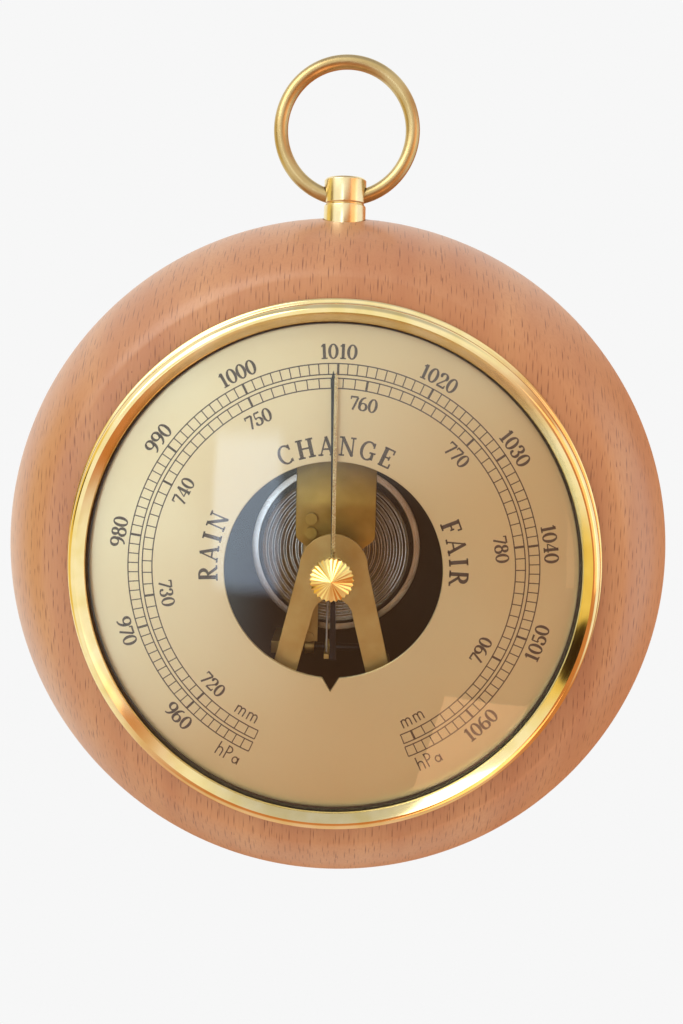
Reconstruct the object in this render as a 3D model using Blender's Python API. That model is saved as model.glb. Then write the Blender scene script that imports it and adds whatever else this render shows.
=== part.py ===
"""Aneroid barometer: a turned beech case, a brass bezel with a domed glass, a printed dial, and the
capsule movement behind the dial's round window.

The frame: the origin is the centre of the case's flat back face, +Z is up, +X is to the right for
someone who reads the dial, and the dial faces -Y. "Depth" is the distance from the back face towards
the reader, so a depth of 36 mm lies at y = -0.036. All sizes below are in millimetres.
"""

from math import atan2, cos, degrees, pi, radians, sin, sqrt

import bmesh
import bpy
from mathutils import Matrix, Vector

MM = 0.001
MERGE = 1e-7
GAP = 0.3                       # clearance between pieces that touch
RUNNING_GAP = 0.4               # clearance between pieces that move on each other
OVERCUT = 1.0                   # how far a cutter reaches past the face it cuts

# The beech case
CASE_RADIUS = 85.0
CASE_DEPTH = 36.0
CASE_FLOOR = 5.0                # wood left behind the recess
CASE_REAR_ROUND = 8.0
CASE_EDGE_BAND = 2.0            # straight band at the case's widest part
CASE_FRONT_POWER = 1.5          # of the front's curve: 1 is a cone, 2 an ellipse
CASE_FRONT_MARGIN = 4.7         # flat wood left round the bezel before the front falls away

# The movement can, a flanged cup in the case's recess
CAN_RADIUS = 58.3
CAN_WALL = 0.8
CAN_FIT = 0.5                   # clearance between the can and the recess
CAN_FLANGE_WIDTH = 2.9

# The bezel, the glass and the dial
BEZEL_SKIRT_WALL = 1.7          # outside the can's flange
BEZEL_LIP_HEIGHT = 1.1
BEZEL_LIP_WIDTH = 1.6
BEZEL_LIP_CHAMFER_IN = 0.5
BEZEL_LIP_CHAMFER_UP = 0.4
BEZEL_COVE_RISE = 0.6           # from the foot up into the wall
BEZEL_SHOULDER_HEIGHT = 2.0
BEZEL_NOSE = 0.8                # upright band over the glass
BEZEL_STEP = 1.1                # the wall's inside steps in by this over the can's flange
BEZEL_FACE_HEIGHT = 2.7         # from the glass edge up to the bezel's highest ring
BEZEL_FACE_IN = 2.1             # from the wall in to the highest ring
BEZEL_LIP_OVER_GLASS = 2.4
GLASS_THICKNESS = 1.6
GLASS_RISE = 6.0
GASKET_THICKNESS = 0.7
GASKET_OVERLAP = 0.4            # how far the gasket shows inside the bezel's opening
DIAL_THICKNESS = 0.8
WINDOW_RADIUS = 25.7
NOTCH_WIDTH = 4.0
NOTCH_DEPTH = 3.3

# The hands
HAND_LENGTH = 46.7
HAND_WIDTH = 1.0
HAND_TAIL = 21.0
HAND_TAIL_WIDTH = 1.6
HAND_THICKNESS = 0.4
HAND_LIFT = 0.9                 # the black hand's height over the dial
HAND_SPACING = 1.4              # from the black hand up to the set hand
HAND_HUB_RADIUS = 2.0
HAND_ANGLE = -1.3               # where the hand stands at rest, clockwise from straight up
SET_HAND_LENGTH = 46.4
SET_HAND_WIDTH = 0.85
SET_HAND_ANGLE = -0.4
SET_SHAFT_RADIUS = 0.8
SET_BUSH_RADIUS = 1.9
SET_FLANGE_RADIUS = 3.5
SET_FLANGE_THICKNESS = 0.6
SET_COLLAR_HEIGHT = 0.4
SET_COLLAR_IN = 0.5             # the collar is smaller than the hub by this
KNOB_RADIUS = 5.1
KNOB_RIM = 1.7
KNOB_CONE = 2.6
KNOB_TEETH = 28
KNOB_TOOTH_DEPTH = 0.35
KNOB_CHAMFER = 0.35

# The base plate and its screws
PLATE_RADIUS = 46.0
PLATE_THICKNESS = 1.2
SCREW_CIRCLE_RADIUS = 40.0
SCREW_ANGLES = (30.0, 150.0, 270.0)
SCREW_RADIUS = 1.4
SCREW_HEAD_RADIUS = 2.8
SCREW_HEAD_HEIGHT = 1.5
SCREW_SLOT = 0.6
SLOT_TURNS = {"base": 35.0, "spring": 60.0, "bridge": 25.0}     # degrees, so no two slots line up
SCREW_DEPTH_IN_WOOD = 3.0

# The capsule
CAPSULE_Z = 2.2
CAPSULE_RADIUS = 21.5
CAPSULE_RIM = 1.9               # flat soldered rim
CAPSULE_RISE = 2.4              # each half's depth
CAPSULE_WALL = 0.5
CAPSULE_WAVES = 3
CAPSULE_WAVE_HEIGHT = 0.35
CAPSULE_CENTRE_RADIUS = 5.0
CAPSULE_FOOT_RADIUS = 4.5
CAPSULE_TO_TONGUE = 5.7         # from the capsule's front to the tongue's centre line
CAPSULE_STUD_RADIUS = 2.0
POST_RADIUS = 2.0
COLLAR_HEIGHT = 2.2
COLLAR_WALL = 1.2
POST_LIFT = 1.0                 # the post's foot over the capsule
CAPSULE_SLOPE = 0.5             # of the wall inside the rim: run over rise

# The mainspring, a bent strap that runs over the capsule
SPRING_FOOT_CLEARANCE = 2.8      # from the capsule's edge up to the strap's foot block
SPRING_FOOT_HEIGHT = 2.8
SPRING_FOOT_LENGTH = 9.0
SPRING_HALF_WIDTH = 9.8
SPRING_TONGUE_HALF_WIDTH = 4.5
SPRING_NECK = 4.2               # from the shoulder down to where the tongue begins
SPRING_THICKNESS = 0.8
SPRING_TONGUE_Z = -2.0
SPRING_TONGUE_BELOW = 9.0        # the tongue's centre line behind the bridge
SPRING_SHOULDER_Z = 5.8
SPRING_BEND_Z = 14.0
SPRING_BEND_RISE = 1.6          # the strap rises towards the reader up to its bend
SPRING_BACK_DROP = 1.5          # and falls away again above it
SPRING_BACK_BELOW = 1.5         # from the foot's middle down to where the loop begins
SPRING_BACK_LIFT = 0.3
SPRING_LOOP_BELOW = 3.0         # the loop's centre below the foot's upper end
SPRING_LOOP_SHAPE = 0.8         # the loop's height as a share of its depth
SPRING_SCREW_X = 6.0
SPRING_SCREW_RADIUS = 1.1
SPRING_SCREW_HEAD_RADIUS = 2.0
SPRING_SCREW_HEAD_HEIGHT = 1.0
SPRING_SCREW_LIFT = 1.1         # its tip over the base plate
FOOT_MARGIN = 1.0               # the foot block is wider than the strap by this each side
FOOT_HOLE_FLOOR = 0.8
STRAP_HOLE_REACH = 3.0

# The lever arm and the link
LEVER_X = -5.9
LEVER_WIDTH = 4.0
LEVER_THICKNESS = 1.0
LEVER_TOP_Z = 12.6
LEVER_BELOW = 1.8               # the arm's back face behind the tongue's centre line
RIVET_SPACING = 3.6
RIVET_RADIUS = 0.7
RIVET_HEAD_RADIUS = 1.5
RIVET_HEAD_HEIGHT = 0.7
RIVET_FROM_TOP = 1.9            # the upper rivet below the arm's top
RIVET_CLEARANCE = 0.5           # under the head, where the strap slopes
PIN_SHY = 0.1                   # a pin stops short of the far face
LEVER_END = 1.3                 # metal left past the link's hole
LINK_RADIUS = 0.5
LINK_HEAD_RADIUS = 1.2
LINK_HEAD_HEIGHT = 0.8

# The rocker shaft and its arms
ROCKER_CLEARANCE = 3.2          # from the capsule's edge down to the shaft
ROCKER_BELOW = 1.7              # behind the lever arm's back face
ROCKER_RADIUS = 1.0
ROCKER_LEFT_X = -14.0
ROCKER_RIGHT_X = 10.0
BEARING_WIDTH = 3.0
BEARING_HEAD = 2.2              # metal left over the shaft
SHAFT_OVERHANG = 0.6            # of the shaft past its bearings
CRANK_LENGTH = 3.2
CRANK_WIDTH = 1.6
CRANK_HUB_RADIUS = 1.9
CRANK_THICKNESS = 2.4
ARM_LENGTH = 10.0
ARM_WIDTH = 1.2
CHAIN_RADIUS = 0.25
DRUM_RADIUS = 0.8
DRUM_OVERHANG = 0.6             # of the drum behind the chain

# The bridge over the movement
BRIDGE_BELOW = 4.4              # the bridge's back face behind the dial's
BRIDGE_THICKNESS = 1.2
BRIDGE_HEAD_RADIUS = 8.2
BRIDGE_FOOT = 3.2               # leg left past the pillars
BRIDGE_LEG_OUTER_X = 15.9
BRIDGE_LEG_INNER_X = 10.0
BRIDGE_ARCH_Z = -12.2
BRIDGE_ARCH_RADIUS = 5.0
PILLAR_X = 12.5
PILLAR_CLEARANCE = 5.9          # from the rocker shaft down to the pillars
PILLAR_RADIUS = 2.4
BRIDGE_SCREW_RADIUS = 1.1
BRIDGE_SCREW_HEAD_RADIUS = 2.1
BRIDGE_SCREW_HEAD_HEIGHT = 1.2
BRIDGE_SCREW_LENGTH = 4.6       # in the pillar
PILLAR_HOLE_DEPTH = 5.0

# The hand's arbor, its bush and the hairspring
ARBOR_RADIUS = 0.5
ARBOR_BUSH_RADIUS = 1.9
ARBOR_BUSH_BELOW = 1.5
ARBOR_BUSH_ABOVE = 1.6
ARBOR_FLANGE_RADIUS = 3.0
ARBOR_FLANGE_HEIGHT = 0.7
ARBOR_END = 0.5                 # of the arbor behind its collet
COLLET_RADIUS = 1.3
COLLET_HEIGHT = 1.2
COLLET_BELOW_CHAIN = 2.4
HAIRSPRING_RADIUS = 5.4
HAIRSPRING_TURNS = 3.5
HAIRSPRING_STEPS = 18           # per turn
HAIRSPRING_WIDTH = 0.6
HAIRSPRING_THICKNESS = 0.2
HAIRSPRING_STUD_LENGTH = 1.4
HAIRSPRING_STUD_HALF_WIDTH = 0.8

# The calibration screw, reached from behind
CALIBRATION_RADIUS = 1.5
CALIBRATION_HEAD_RADIUS = 2.6
CALIBRATION_HEAD_HEIGHT = 1.6
CALIBRATION_RECESS = 1.0

# The hanger
STUD_RADIUS = 5.2
STUD_DEPTH = 13.0
STUD_OVER_BORE = 1.9            # metal left over the cross bore
STUD_SEAT = 2.8                 # how far the stud is let into the wood
STUD_SHANK_RADIUS = 2.7
STUD_SHANK_LENGTH = 10.5
STUD_CHAMFER = 0.5
GROOVE_HEIGHT = 2.8             # above the case's rim
GROOVE_WIDTH = 0.75
GROOVE_DEPTH = 0.4
BORE_OVER_GROOVE = 1.9          # from the groove up to the cross bore's axis
BORE_CLEARANCE = 0.3            # round the wire, where it leaves the bore
FLAT_DEPTH = 0.5                # small flats where the ring goes in
FLAT_EXTRA_RADIUS = 0.15
RING_RADIUS = 16.25             # of the wire's centre line
RING_WIRE_RADIUS = 1.75
RING_SPLIT = 0.3

# Finishes: colour, metallic, roughness
FINISHES = {
    "lacquered_beech": ((0.55, 0.29, 0.15), 0.0, 0.40),
    "polished_brass": ((0.90, 0.68, 0.30), 1.0, 0.14),
    "satin_brass": ((0.80, 0.64, 0.38), 1.0, 0.38),
    "spring_brass": ((0.46, 0.33, 0.12), 1.0, 0.34),
    "nickel_silver": ((0.60, 0.60, 0.58), 1.0, 0.28),
    "zinc_plated_steel": ((0.42, 0.43, 0.44), 1.0, 0.40),
    "blackened_steel": ((0.02, 0.02, 0.03), 0.6, 0.35),
    "crystal_glass": ((0.95, 0.97, 0.98), 0.0, 0.03),
    "brown_rubber": ((0.05, 0.03, 0.02), 0.0, 0.70),
}

# Stack of depths that several pieces share
CAN_BACK = CASE_FLOOR + GAP
CAN_FLOOR = CAN_BACK + CAN_WALL
FLANGE_BACK = CASE_DEPTH + GAP
FLANGE_FRONT = FLANGE_BACK + CAN_WALL
DIAL_BACK = FLANGE_FRONT + GAP
DIAL_FRONT = DIAL_BACK + DIAL_THICKNESS
GASKET_BACK = DIAL_FRONT + GAP
GLASS_EDGE_BACK = GASKET_BACK + GASKET_THICKNESS + GAP
GLASS_EDGE_FRONT = GLASS_EDGE_BACK + GLASS_THICKNESS
BEZEL_SEAT = GLASS_EDGE_FRONT + GAP
BEZEL_FRONT = BEZEL_SEAT + BEZEL_FACE_HEIGHT
GLASS_CENTRE_BACK = GLASS_EDGE_BACK + GLASS_RISE
GLASS_CENTRE_FRONT = GLASS_EDGE_FRONT + GLASS_RISE
PLATE_BACK = CAN_FLOOR + GAP
PLATE_FRONT = PLATE_BACK + PLATE_THICKNESS
ON_PLATE = PLATE_FRONT + GAP
HAND_BACK = DIAL_FRONT + HAND_LIFT
SET_HAND_BACK = HAND_BACK + HAND_SPACING
BRIDGE_DEPTH = DIAL_BACK - BRIDGE_BELOW
BRIDGE_FRONT = BRIDGE_DEPTH + BRIDGE_THICKNESS
SPRING_TONGUE_DEPTH = BRIDGE_DEPTH - SPRING_TONGUE_BELOW
SPRING_BEND_DEPTH = SPRING_TONGUE_DEPTH + SPRING_BEND_RISE
SPRING_BACK_DEPTH = SPRING_BEND_DEPTH - SPRING_BACK_DROP
LEVER_DEPTH = SPRING_TONGUE_DEPTH - LEVER_BELOW
ROCKER_DEPTH = LEVER_DEPTH - ROCKER_BELOW
CAPSULE_TOP = SPRING_TONGUE_DEPTH - CAPSULE_TO_TONGUE
CAPSULE_JOIN = CAPSULE_TOP - CAPSULE_WALL - CAPSULE_RISE - GAP
CAPSULE_BACK = CAPSULE_JOIN - CAPSULE_RISE - CAPSULE_WALL
CAPSULE_FOOT_TOP = CAPSULE_BACK - GAP
CHAIN_DEPTH = ROCKER_DEPTH + ARM_LENGTH - ARM_WIDTH / 2
CHAIN_X = -(DRUM_RADIUS + GAP + CHAIN_RADIUS)

# Heights that follow from the capsule
ROCKER_Z = CAPSULE_Z - CAPSULE_RADIUS - ROCKER_CLEARANCE
PILLAR_Z = ROCKER_Z - PILLAR_CLEARANCE
BRIDGE_LEG_Z = PILLAR_Z - BRIDGE_FOOT
SPRING_FOOT_Z = CAPSULE_Z + CAPSULE_RADIUS + SPRING_FOOT_CLEARANCE + SPRING_FOOT_LENGTH / 2
SPRING_BACK_Z = SPRING_FOOT_Z - SPRING_BACK_BELOW
SPRING_HINGE_DEPTH = (ON_PLATE + SPRING_FOOT_HEIGHT + SPRING_BACK_DEPTH) / 2

# Radii that follow from the pieces they fit
RECESS_RADIUS = CAN_RADIUS + CAN_FIT
CAN_FLANGE_RADIUS = CAN_RADIUS + CAN_FLANGE_WIDTH
BEZEL_SKIRT_RADIUS = CAN_FLANGE_RADIUS + RUNNING_GAP
BEZEL_RADIUS = BEZEL_SKIRT_RADIUS + BEZEL_SKIRT_WALL
BEZEL_WALL_RADIUS = BEZEL_RADIUS - BEZEL_LIP_WIDTH
BEZEL_FACE_RADIUS = BEZEL_WALL_RADIUS - BEZEL_FACE_IN
BEZEL_INNER_RADIUS = CAN_FLANGE_RADIUS - BEZEL_STEP
BEZEL_OPENING_RADIUS = BEZEL_INNER_RADIUS - BEZEL_LIP_OVER_GLASS
DIAL_RADIUS = BEZEL_INNER_RADIUS - CAN_FIT
GASKET_RADIUS = BEZEL_INNER_RADIUS - CAN_FIT
GLASS_RADIUS = BEZEL_INNER_RADIUS - GAP
GLASS_HOLE_RADIUS = SET_BUSH_RADIUS + GAP
BORE_HALF_LENGTH = STUD_RADIUS - FLAT_DEPTH
RING_SAG = RING_RADIUS - sqrt(RING_RADIUS ** 2 - BORE_HALF_LENGTH ** 2)
WIRE_HALF_HEIGHT = RING_WIRE_RADIUS * RING_RADIUS / (RING_RADIUS - RING_SAG)
BORE_RADIUS = RING_SAG / 2 + WIRE_HALF_HEIGHT + BORE_CLEARANCE
FLAT_RADIUS = BORE_RADIUS + FLAT_EXTRA_RADIUS
BORE_HEIGHT = GROOVE_HEIGHT + BORE_OVER_GROOVE
BORE_Z = CASE_RADIUS + BORE_HEIGHT
STUD_TOP = BORE_HEIGHT + BORE_RADIUS + STUD_OVER_BORE
RING_Z = BORE_Z + RING_RADIUS - RING_SAG / 2

HOLE_TURN = 5.0                 # degrees that a cutter's facets are turned

# Segments round a full turn
COARSE = 12
MEDIUM = 24
FINE = 40
FINEST = 56
FINE_ROD = 8


# Frames: local X, Y and Z are right, up and towards the reader, or a rod's own directions

def facing(x=0.0, z=0.0):
    """Frame on an axis towards the reader through (x, z)."""
    return Matrix.Translation((x * MM, 0.0, z * MM)) @ Matrix.Rotation(radians(90), 4, "X")


def upright(x=0.0, depth=0.0):
    """Frame on a vertical axis at x and the given depth."""
    return Matrix.Translation((x * MM, -depth * MM, 0.0))


def crosswise(z, depth):
    """Frame on an axis along X at the given height and depth: local X is up, local Y to the reader."""
    turn = Matrix(((0, 0, 1, 0), (0, -1, 0, 0), (1, 0, 0, 0), (0, 0, 0, 1)))
    return Matrix.Translation((0.0, -depth * MM, z * MM)) @ turn


def clear_scene():
    """Remove every object, so the model starts from nothing."""
    for old in list(bpy.data.objects):
        bpy.data.objects.remove(old, do_unlink=True)


def add_object(name, bm, frame):
    """Turn a bmesh made in millimetres in a local frame into a scene object in metres."""
    bmesh.ops.remove_doubles(bm, verts=bm.verts, dist=MERGE / MM)
    bmesh.ops.recalc_face_normals(bm, faces=bm.faces)
    bmesh.ops.transform(bm, matrix=frame @ Matrix.Scale(MM, 4), verts=bm.verts)
    mesh = bpy.data.meshes.new(name)
    bm.to_mesh(mesh)
    bm.free()
    mesh.shade_smooth()
    mesh.set_sharp_from_angle(angle=radians(30))
    obj = bpy.data.objects.new(name, mesh)
    bpy.context.scene.collection.objects.link(obj)
    return obj


def finish(obj, finish_name):
    """Give an object its own Principled material in a named finish."""
    colour, metallic, roughness = FINISHES[finish_name]
    material = bpy.data.materials.new(f"{obj.name}_{finish_name}")
    material.use_nodes = True
    shader = material.node_tree.nodes["Principled BSDF"]
    shader.inputs["Base Color"].default_value = (*colour, 1.0)
    shader.inputs["Metallic"].default_value = metallic
    shader.inputs["Roughness"].default_value = roughness
    obj.data.materials.append(material)
    return obj


def cut(obj, cutter):
    """Subtract a cutter from an object with a live Boolean."""
    cutter.hide_render = True
    cutter.display_type = "WIRE"
    modifier = obj.modifiers.new(cutter.name, "BOOLEAN")
    modifier.operation = "DIFFERENCE"
    modifier.object = cutter
    modifier.solver = "EXACT"
    return obj


# Shapes

def spun(name, profile, segments, frame, closed=True):
    """Turn a profile of (radius, height) points about the frame's Z axis.

    An open profile starts and ends on the axis; a closed one is a ring's section.
    """
    bm = bmesh.new()
    verts = [bm.verts.new((radius, 0.0, height)) for radius, height in profile]
    following = verts[1:] + verts[:1] if closed else verts[1:]
    edges = [bm.edges.new(pair) for pair in zip(verts, following)]
    bmesh.ops.spin(bm, geom=verts + edges, cent=(0, 0, 0), axis=(0, 0, 1), angle=2 * pi,
                   steps=segments, use_merge=True)
    return add_object(name, bm, frame)


def cylinder(name, radius, low, high, frame, segments=COARSE):
    """A plain round rod from one height to another."""
    profile = [(0.0, low), (radius, low), (radius, high), (0.0, high)]
    return spun(name, profile, segments, frame, closed=False)


def tube(name, inner, outer, low, high, frame, segments=MEDIUM):
    """A ring of rectangular section."""
    profile = [(inner, low), (outer, low), (outer, high), (inner, high)]
    return spun(name, profile, segments, frame)


def lofted(name, sections, frame, apex=None):
    """Join equal rings of points into one capped solid, ending in an apex point if one is given."""
    bm = bmesh.new()
    rings = [[bm.verts.new(point) for point in section] for section in sections]
    for ring, above in zip(rings, rings[1:]):
        for i in range(len(ring)):
            j = (i + 1) % len(ring)
            bm.faces.new((ring[i], ring[j], above[j], above[i]))
    bm.faces.new(rings[0])
    if apex is None:
        bm.faces.new(rings[-1])
    else:
        tip = bm.verts.new(apex)
        for i, vert in enumerate(rings[-1]):
            bm.faces.new((vert, rings[-1][(i + 1) % len(rings[-1])], tip))
    return add_object(name, bm, frame)


def plate(name, outline, low, high, frame):
    """Extrude a flat outline of (x, y) points between two heights."""
    sections = [[(x, y, height) for x, y in outline] for height in (low, high)]
    return lofted(name, sections, frame)


def block(name, x_range, y_range, z_range, frame):
    """A rectangular block in the frame's own directions."""
    outline = [(x_range[0], y_range[0]), (x_range[1], y_range[0]),
               (x_range[1], y_range[1]), (x_range[0], y_range[1])]
    return plate(name, outline, *z_range, frame)


def arc(centre, radii, start, end, steps):
    """Points on an ellipse's arc, from one angle in degrees to another."""
    angles = [radians(start + (end - start) * i / steps) for i in range(steps + 1)]
    return [(centre[0] + radii[0] * cos(a), centre[1] + radii[1] * sin(a)) for a in angles]


def roundover(centre, radii, steps):
    """A quarter of a flattened oval: (x/a) and (y/b), each to the front's power, sum to one."""
    turns = [pi / 2 * i / steps for i in range(steps + 1)]
    power = 2.0 / CASE_FRONT_POWER
    return [(centre[0] + radii[0] * max(0.0, cos(turn)) ** power,
             centre[1] + radii[1] * max(0.0, sin(turn)) ** power) for turn in turns]


def drill(obj, name, radius, low, high, frame, segments=COARSE):
    """Cut a round hole; its facets are turned off the piece's own, so that no edges coincide."""
    turn = Matrix.Rotation(radians(HOLE_TURN), 4, "Z")
    return cut(obj, cylinder(name, radius, low, high, frame @ turn, segments))


def headed_pin(name, shank, head, low, seat, head_height, frame, segments=COARSE):
    """A screw or rivet: a shank from low up to its seat, and a head on the seat."""
    profile = [(0.0, low), (shank, low), (shank, seat), (head, seat), (head, seat + head_height),
               (0.0, seat + head_height)]
    return spun(name, profile, segments, frame, closed=False)


def slotted_screw(name, shank, head, low, seat, head_height, centre, slot_angle=0.0):
    """A screw facing the reader, with a straight slot across its head."""
    frame = facing(*centre)
    screw = headed_pin(name, shank, head, low, seat, head_height, frame)
    top = seat + head_height
    turn = Matrix.Rotation(radians(slot_angle), 4, "Z")
    slot = block(f"{name}_slot", (-head * 1.2, head * 1.2), (-SCREW_SLOT / 2, SCREW_SLOT / 2),
                 (top - head_height / 2, top + OVERCUT), frame @ turn)
    return finish(cut(screw, slot), "zinc_plated_steel")


# The joints' axes

def pivot(name, x, z, depth):
    """An empty on a joint's axis."""
    empty = bpy.data.objects.new(name, None)
    empty.location = (x * MM, -depth * MM, z * MM)
    bpy.context.scene.collection.objects.link(empty)
    return empty


def carry(empty, pieces):
    """Parent pieces to a pivot without moving them."""
    for piece in pieces:
        piece.parent = empty
        piece.matrix_parent_inverse = Matrix.Translation(empty.location).inverted()


# The case

def make_case():
    """Turned beech: a flat back, a rounded rear edge, a broad front roundover and a blind recess."""
    front_start = BEZEL_RADIUS + CASE_FRONT_MARGIN
    edge_low = CASE_REAR_ROUND
    edge_high = CASE_REAR_ROUND + CASE_EDGE_BAND
    rear = arc((CASE_RADIUS - CASE_REAR_ROUND, edge_low), (CASE_REAR_ROUND, CASE_REAR_ROUND), -90, 0, 4)
    front = roundover((front_start, edge_high), (CASE_RADIUS - front_start, CASE_DEPTH - edge_high), 10)
    recess = [(RECESS_RADIUS, CASE_DEPTH), (RECESS_RADIUS, CASE_FLOOR), (0.0, CASE_FLOOR)]
    case = spun("wood_case", [(0.0, 0.0)] + rear + front + recess, FINEST, facing(), closed=False)
    for number, (x, z) in enumerate(screw_places(), start=1):
        pilot_low = CASE_FLOOR - SCREW_DEPTH_IN_WOOD - GAP
        drill(case, f"case_pilot_{number}", SCREW_RADIUS + GAP, pilot_low, CAN_BACK, facing(x, z))
    drill(case, "case_calibration_hole", CALIBRATION_HEAD_RADIUS + GAP, -OVERCUT, CAN_BACK,
          facing(0.0, SPRING_FOOT_Z))
    seat = CASE_RADIUS - STUD_SEAT - GAP
    stud_hole = [(0.0, seat - STUD_SHANK_LENGTH), (STUD_SHANK_RADIUS + GAP, seat - STUD_SHANK_LENGTH),
                 (STUD_SHANK_RADIUS + GAP, seat), (STUD_RADIUS + GAP, seat),
                 (STUD_RADIUS + GAP, CASE_RADIUS + OVERCUT), (0.0, CASE_RADIUS + OVERCUT)]
    turn = Matrix.Rotation(radians(HOLE_TURN), 4, "Z")
    cut(case, spun("case_stud_hole", stud_hole, MEDIUM, upright(0.0, STUD_DEPTH) @ turn, closed=False))
    return finish(case, "lacquered_beech")


def screw_places():
    """Where the three screws through the base plate stand, as (x, z)."""
    return [(SCREW_CIRCLE_RADIUS * cos(radians(a)), SCREW_CIRCLE_RADIUS * sin(radians(a)))
            for a in SCREW_ANGLES]


def make_can():
    """Pressed cup with a flange that lies on the case's front."""
    inner = CAN_RADIUS - CAN_WALL
    profile = [(0.0, CAN_BACK), (CAN_RADIUS, CAN_BACK), (CAN_RADIUS, FLANGE_BACK),
               (CAN_FLANGE_RADIUS, FLANGE_BACK), (CAN_FLANGE_RADIUS, FLANGE_FRONT),
               (inner, FLANGE_FRONT), (inner, CAN_FLOOR), (0.0, CAN_FLOOR)]
    can = spun("movement_can", profile, FINEST, facing(), closed=False)
    for number, (x, z) in enumerate(screw_places(), start=1):
        drill(can, f"can_hole_{number}", SCREW_RADIUS + GAP, CAN_BACK - OVERCUT, PLATE_BACK, facing(x, z))
    drill(can, "can_calibration_hole", CALIBRATION_RADIUS + GAP, CAN_BACK - OVERCUT, PLATE_BACK,
          facing(0.0, SPRING_FOOT_Z))
    return finish(can, "zinc_plated_steel")


def make_bezel():
    """Spun brass ring: a thin foot, a short wall, a rounded shoulder and a face that slopes inwards."""
    wall = BEZEL_WALL_RADIUS
    foot_top = FLANGE_BACK + BEZEL_LIP_HEIGHT
    shoulder = arc((BEZEL_FACE_RADIUS, BEZEL_FRONT - BEZEL_SHOULDER_HEIGHT),
                   (wall - BEZEL_FACE_RADIUS, BEZEL_SHOULDER_HEIGHT), 0, 90, 3)
    profile = [(BEZEL_SKIRT_RADIUS, FLANGE_BACK), (BEZEL_RADIUS, FLANGE_BACK),
               (BEZEL_RADIUS, foot_top - BEZEL_LIP_CHAMFER_UP),
               (BEZEL_RADIUS - BEZEL_LIP_CHAMFER_IN, foot_top),
               (wall, foot_top + BEZEL_COVE_RISE)] + shoulder
    profile += [(BEZEL_OPENING_RADIUS, BEZEL_SEAT + BEZEL_NOSE), (BEZEL_OPENING_RADIUS, BEZEL_SEAT),
                (BEZEL_INNER_RADIUS, BEZEL_SEAT), (BEZEL_INNER_RADIUS, FLANGE_FRONT + GAP),
                (BEZEL_SKIRT_RADIUS, FLANGE_FRONT + GAP)]
    return finish(spun("bezel", profile, FINEST, facing()), "polished_brass")


def make_glass():
    """Domed disc of even thickness with a hole for the set hand's bush."""
    def dome(radius, edge):
        return edge + GLASS_RISE * (1.0 - min(1.0, radius / BEZEL_OPENING_RADIUS) ** 2)
    steps = 5
    radii = [GLASS_HOLE_RADIUS + (BEZEL_OPENING_RADIUS - GLASS_HOLE_RADIUS) * i / steps
             for i in range(steps + 1)] + [GLASS_RADIUS]
    back = [(radius, dome(radius, GLASS_EDGE_BACK)) for radius in radii]
    front = [(radius, dome(radius, GLASS_EDGE_FRONT)) for radius in reversed(radii)]
    return finish(spun("glass", back + front, FINE, facing()), "crystal_glass")


def make_gasket():
    """Dark ring between the dial's margin and the glass."""
    gasket = tube("glass_gasket", BEZEL_OPENING_RADIUS - GASKET_OVERLAP, GASKET_RADIUS, GASKET_BACK,
                  GASKET_BACK + GASKET_THICKNESS, facing(), FINE)
    return finish(gasket, "brown_rubber")


def make_dial():
    """Flat dial plate with the round window and the small notch at its foot."""
    dial = tube("dial", WINDOW_RADIUS, DIAL_RADIUS, DIAL_BACK, DIAL_FRONT, facing(), FINEST)
    inside = WINDOW_RADIUS - OVERCUT
    notch = [(-NOTCH_WIDTH / 2, -inside), (NOTCH_WIDTH / 2, -inside),
             (0.0, -(WINDOW_RADIUS + NOTCH_DEPTH))]
    cut(dial, plate("dial_notch", notch, DIAL_BACK - OVERCUT, DIAL_FRONT + OVERCUT, facing()))
    return finish(dial, "satin_brass")


# The hanger

def make_stud():
    """Round stud let into the case's top, with a turned groove and a cross bore for the ring."""
    seat = CASE_RADIUS - STUD_SEAT
    top = CASE_RADIUS + STUD_TOP
    groove = CASE_RADIUS + GROOVE_HEIGHT
    profile = [(0.0, seat - STUD_SHANK_LENGTH), (STUD_SHANK_RADIUS, seat - STUD_SHANK_LENGTH),
               (STUD_SHANK_RADIUS, seat), (STUD_RADIUS, seat),
               (STUD_RADIUS, groove - GROOVE_WIDTH / 2), (STUD_RADIUS - GROOVE_DEPTH, groove),
               (STUD_RADIUS, groove + GROOVE_WIDTH / 2), (STUD_RADIUS, top - STUD_CHAMFER),
               (STUD_RADIUS - STUD_CHAMFER, top), (0.0, top)]
    stud = spun("hanger_stud", profile, MEDIUM, upright(0.0, STUD_DEPTH), closed=False)
    end = STUD_RADIUS + OVERCUT
    bore = [(0.0, -end), (FLAT_RADIUS, -end), (FLAT_RADIUS, -BORE_HALF_LENGTH),
            (BORE_RADIUS, -BORE_HALF_LENGTH), (BORE_RADIUS, BORE_HALF_LENGTH),
            (FLAT_RADIUS, BORE_HALF_LENGTH), (FLAT_RADIUS, end), (0.0, end)]
    turn = Matrix.Rotation(radians(HOLE_TURN), 4, "Z")
    cut(stud, spun("stud_bore", bore, MEDIUM, crosswise(BORE_Z, STUD_DEPTH) @ turn, closed=False))
    return finish(stud, "polished_brass")


def make_ring():
    """Bent wire ring; its ends meet inside the stud's bore."""
    section = arc((RING_RADIUS, STUD_DEPTH), (RING_WIRE_RADIUS, RING_WIRE_RADIUS), 0, 330, 11)
    ring = spun("hanging_ring", section, FINE, facing(0.0, RING_Z))
    reach = RING_WIRE_RADIUS + OVERCUT
    bottom = RING_Z - RING_RADIUS
    cut(ring, block("ring_split", (-RING_SPLIT / 2, RING_SPLIT / 2), (bottom - reach, bottom + reach),
                    (STUD_DEPTH - reach, STUD_DEPTH + reach), facing()))
    return finish(ring, "polished_brass")


# The movement

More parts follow.
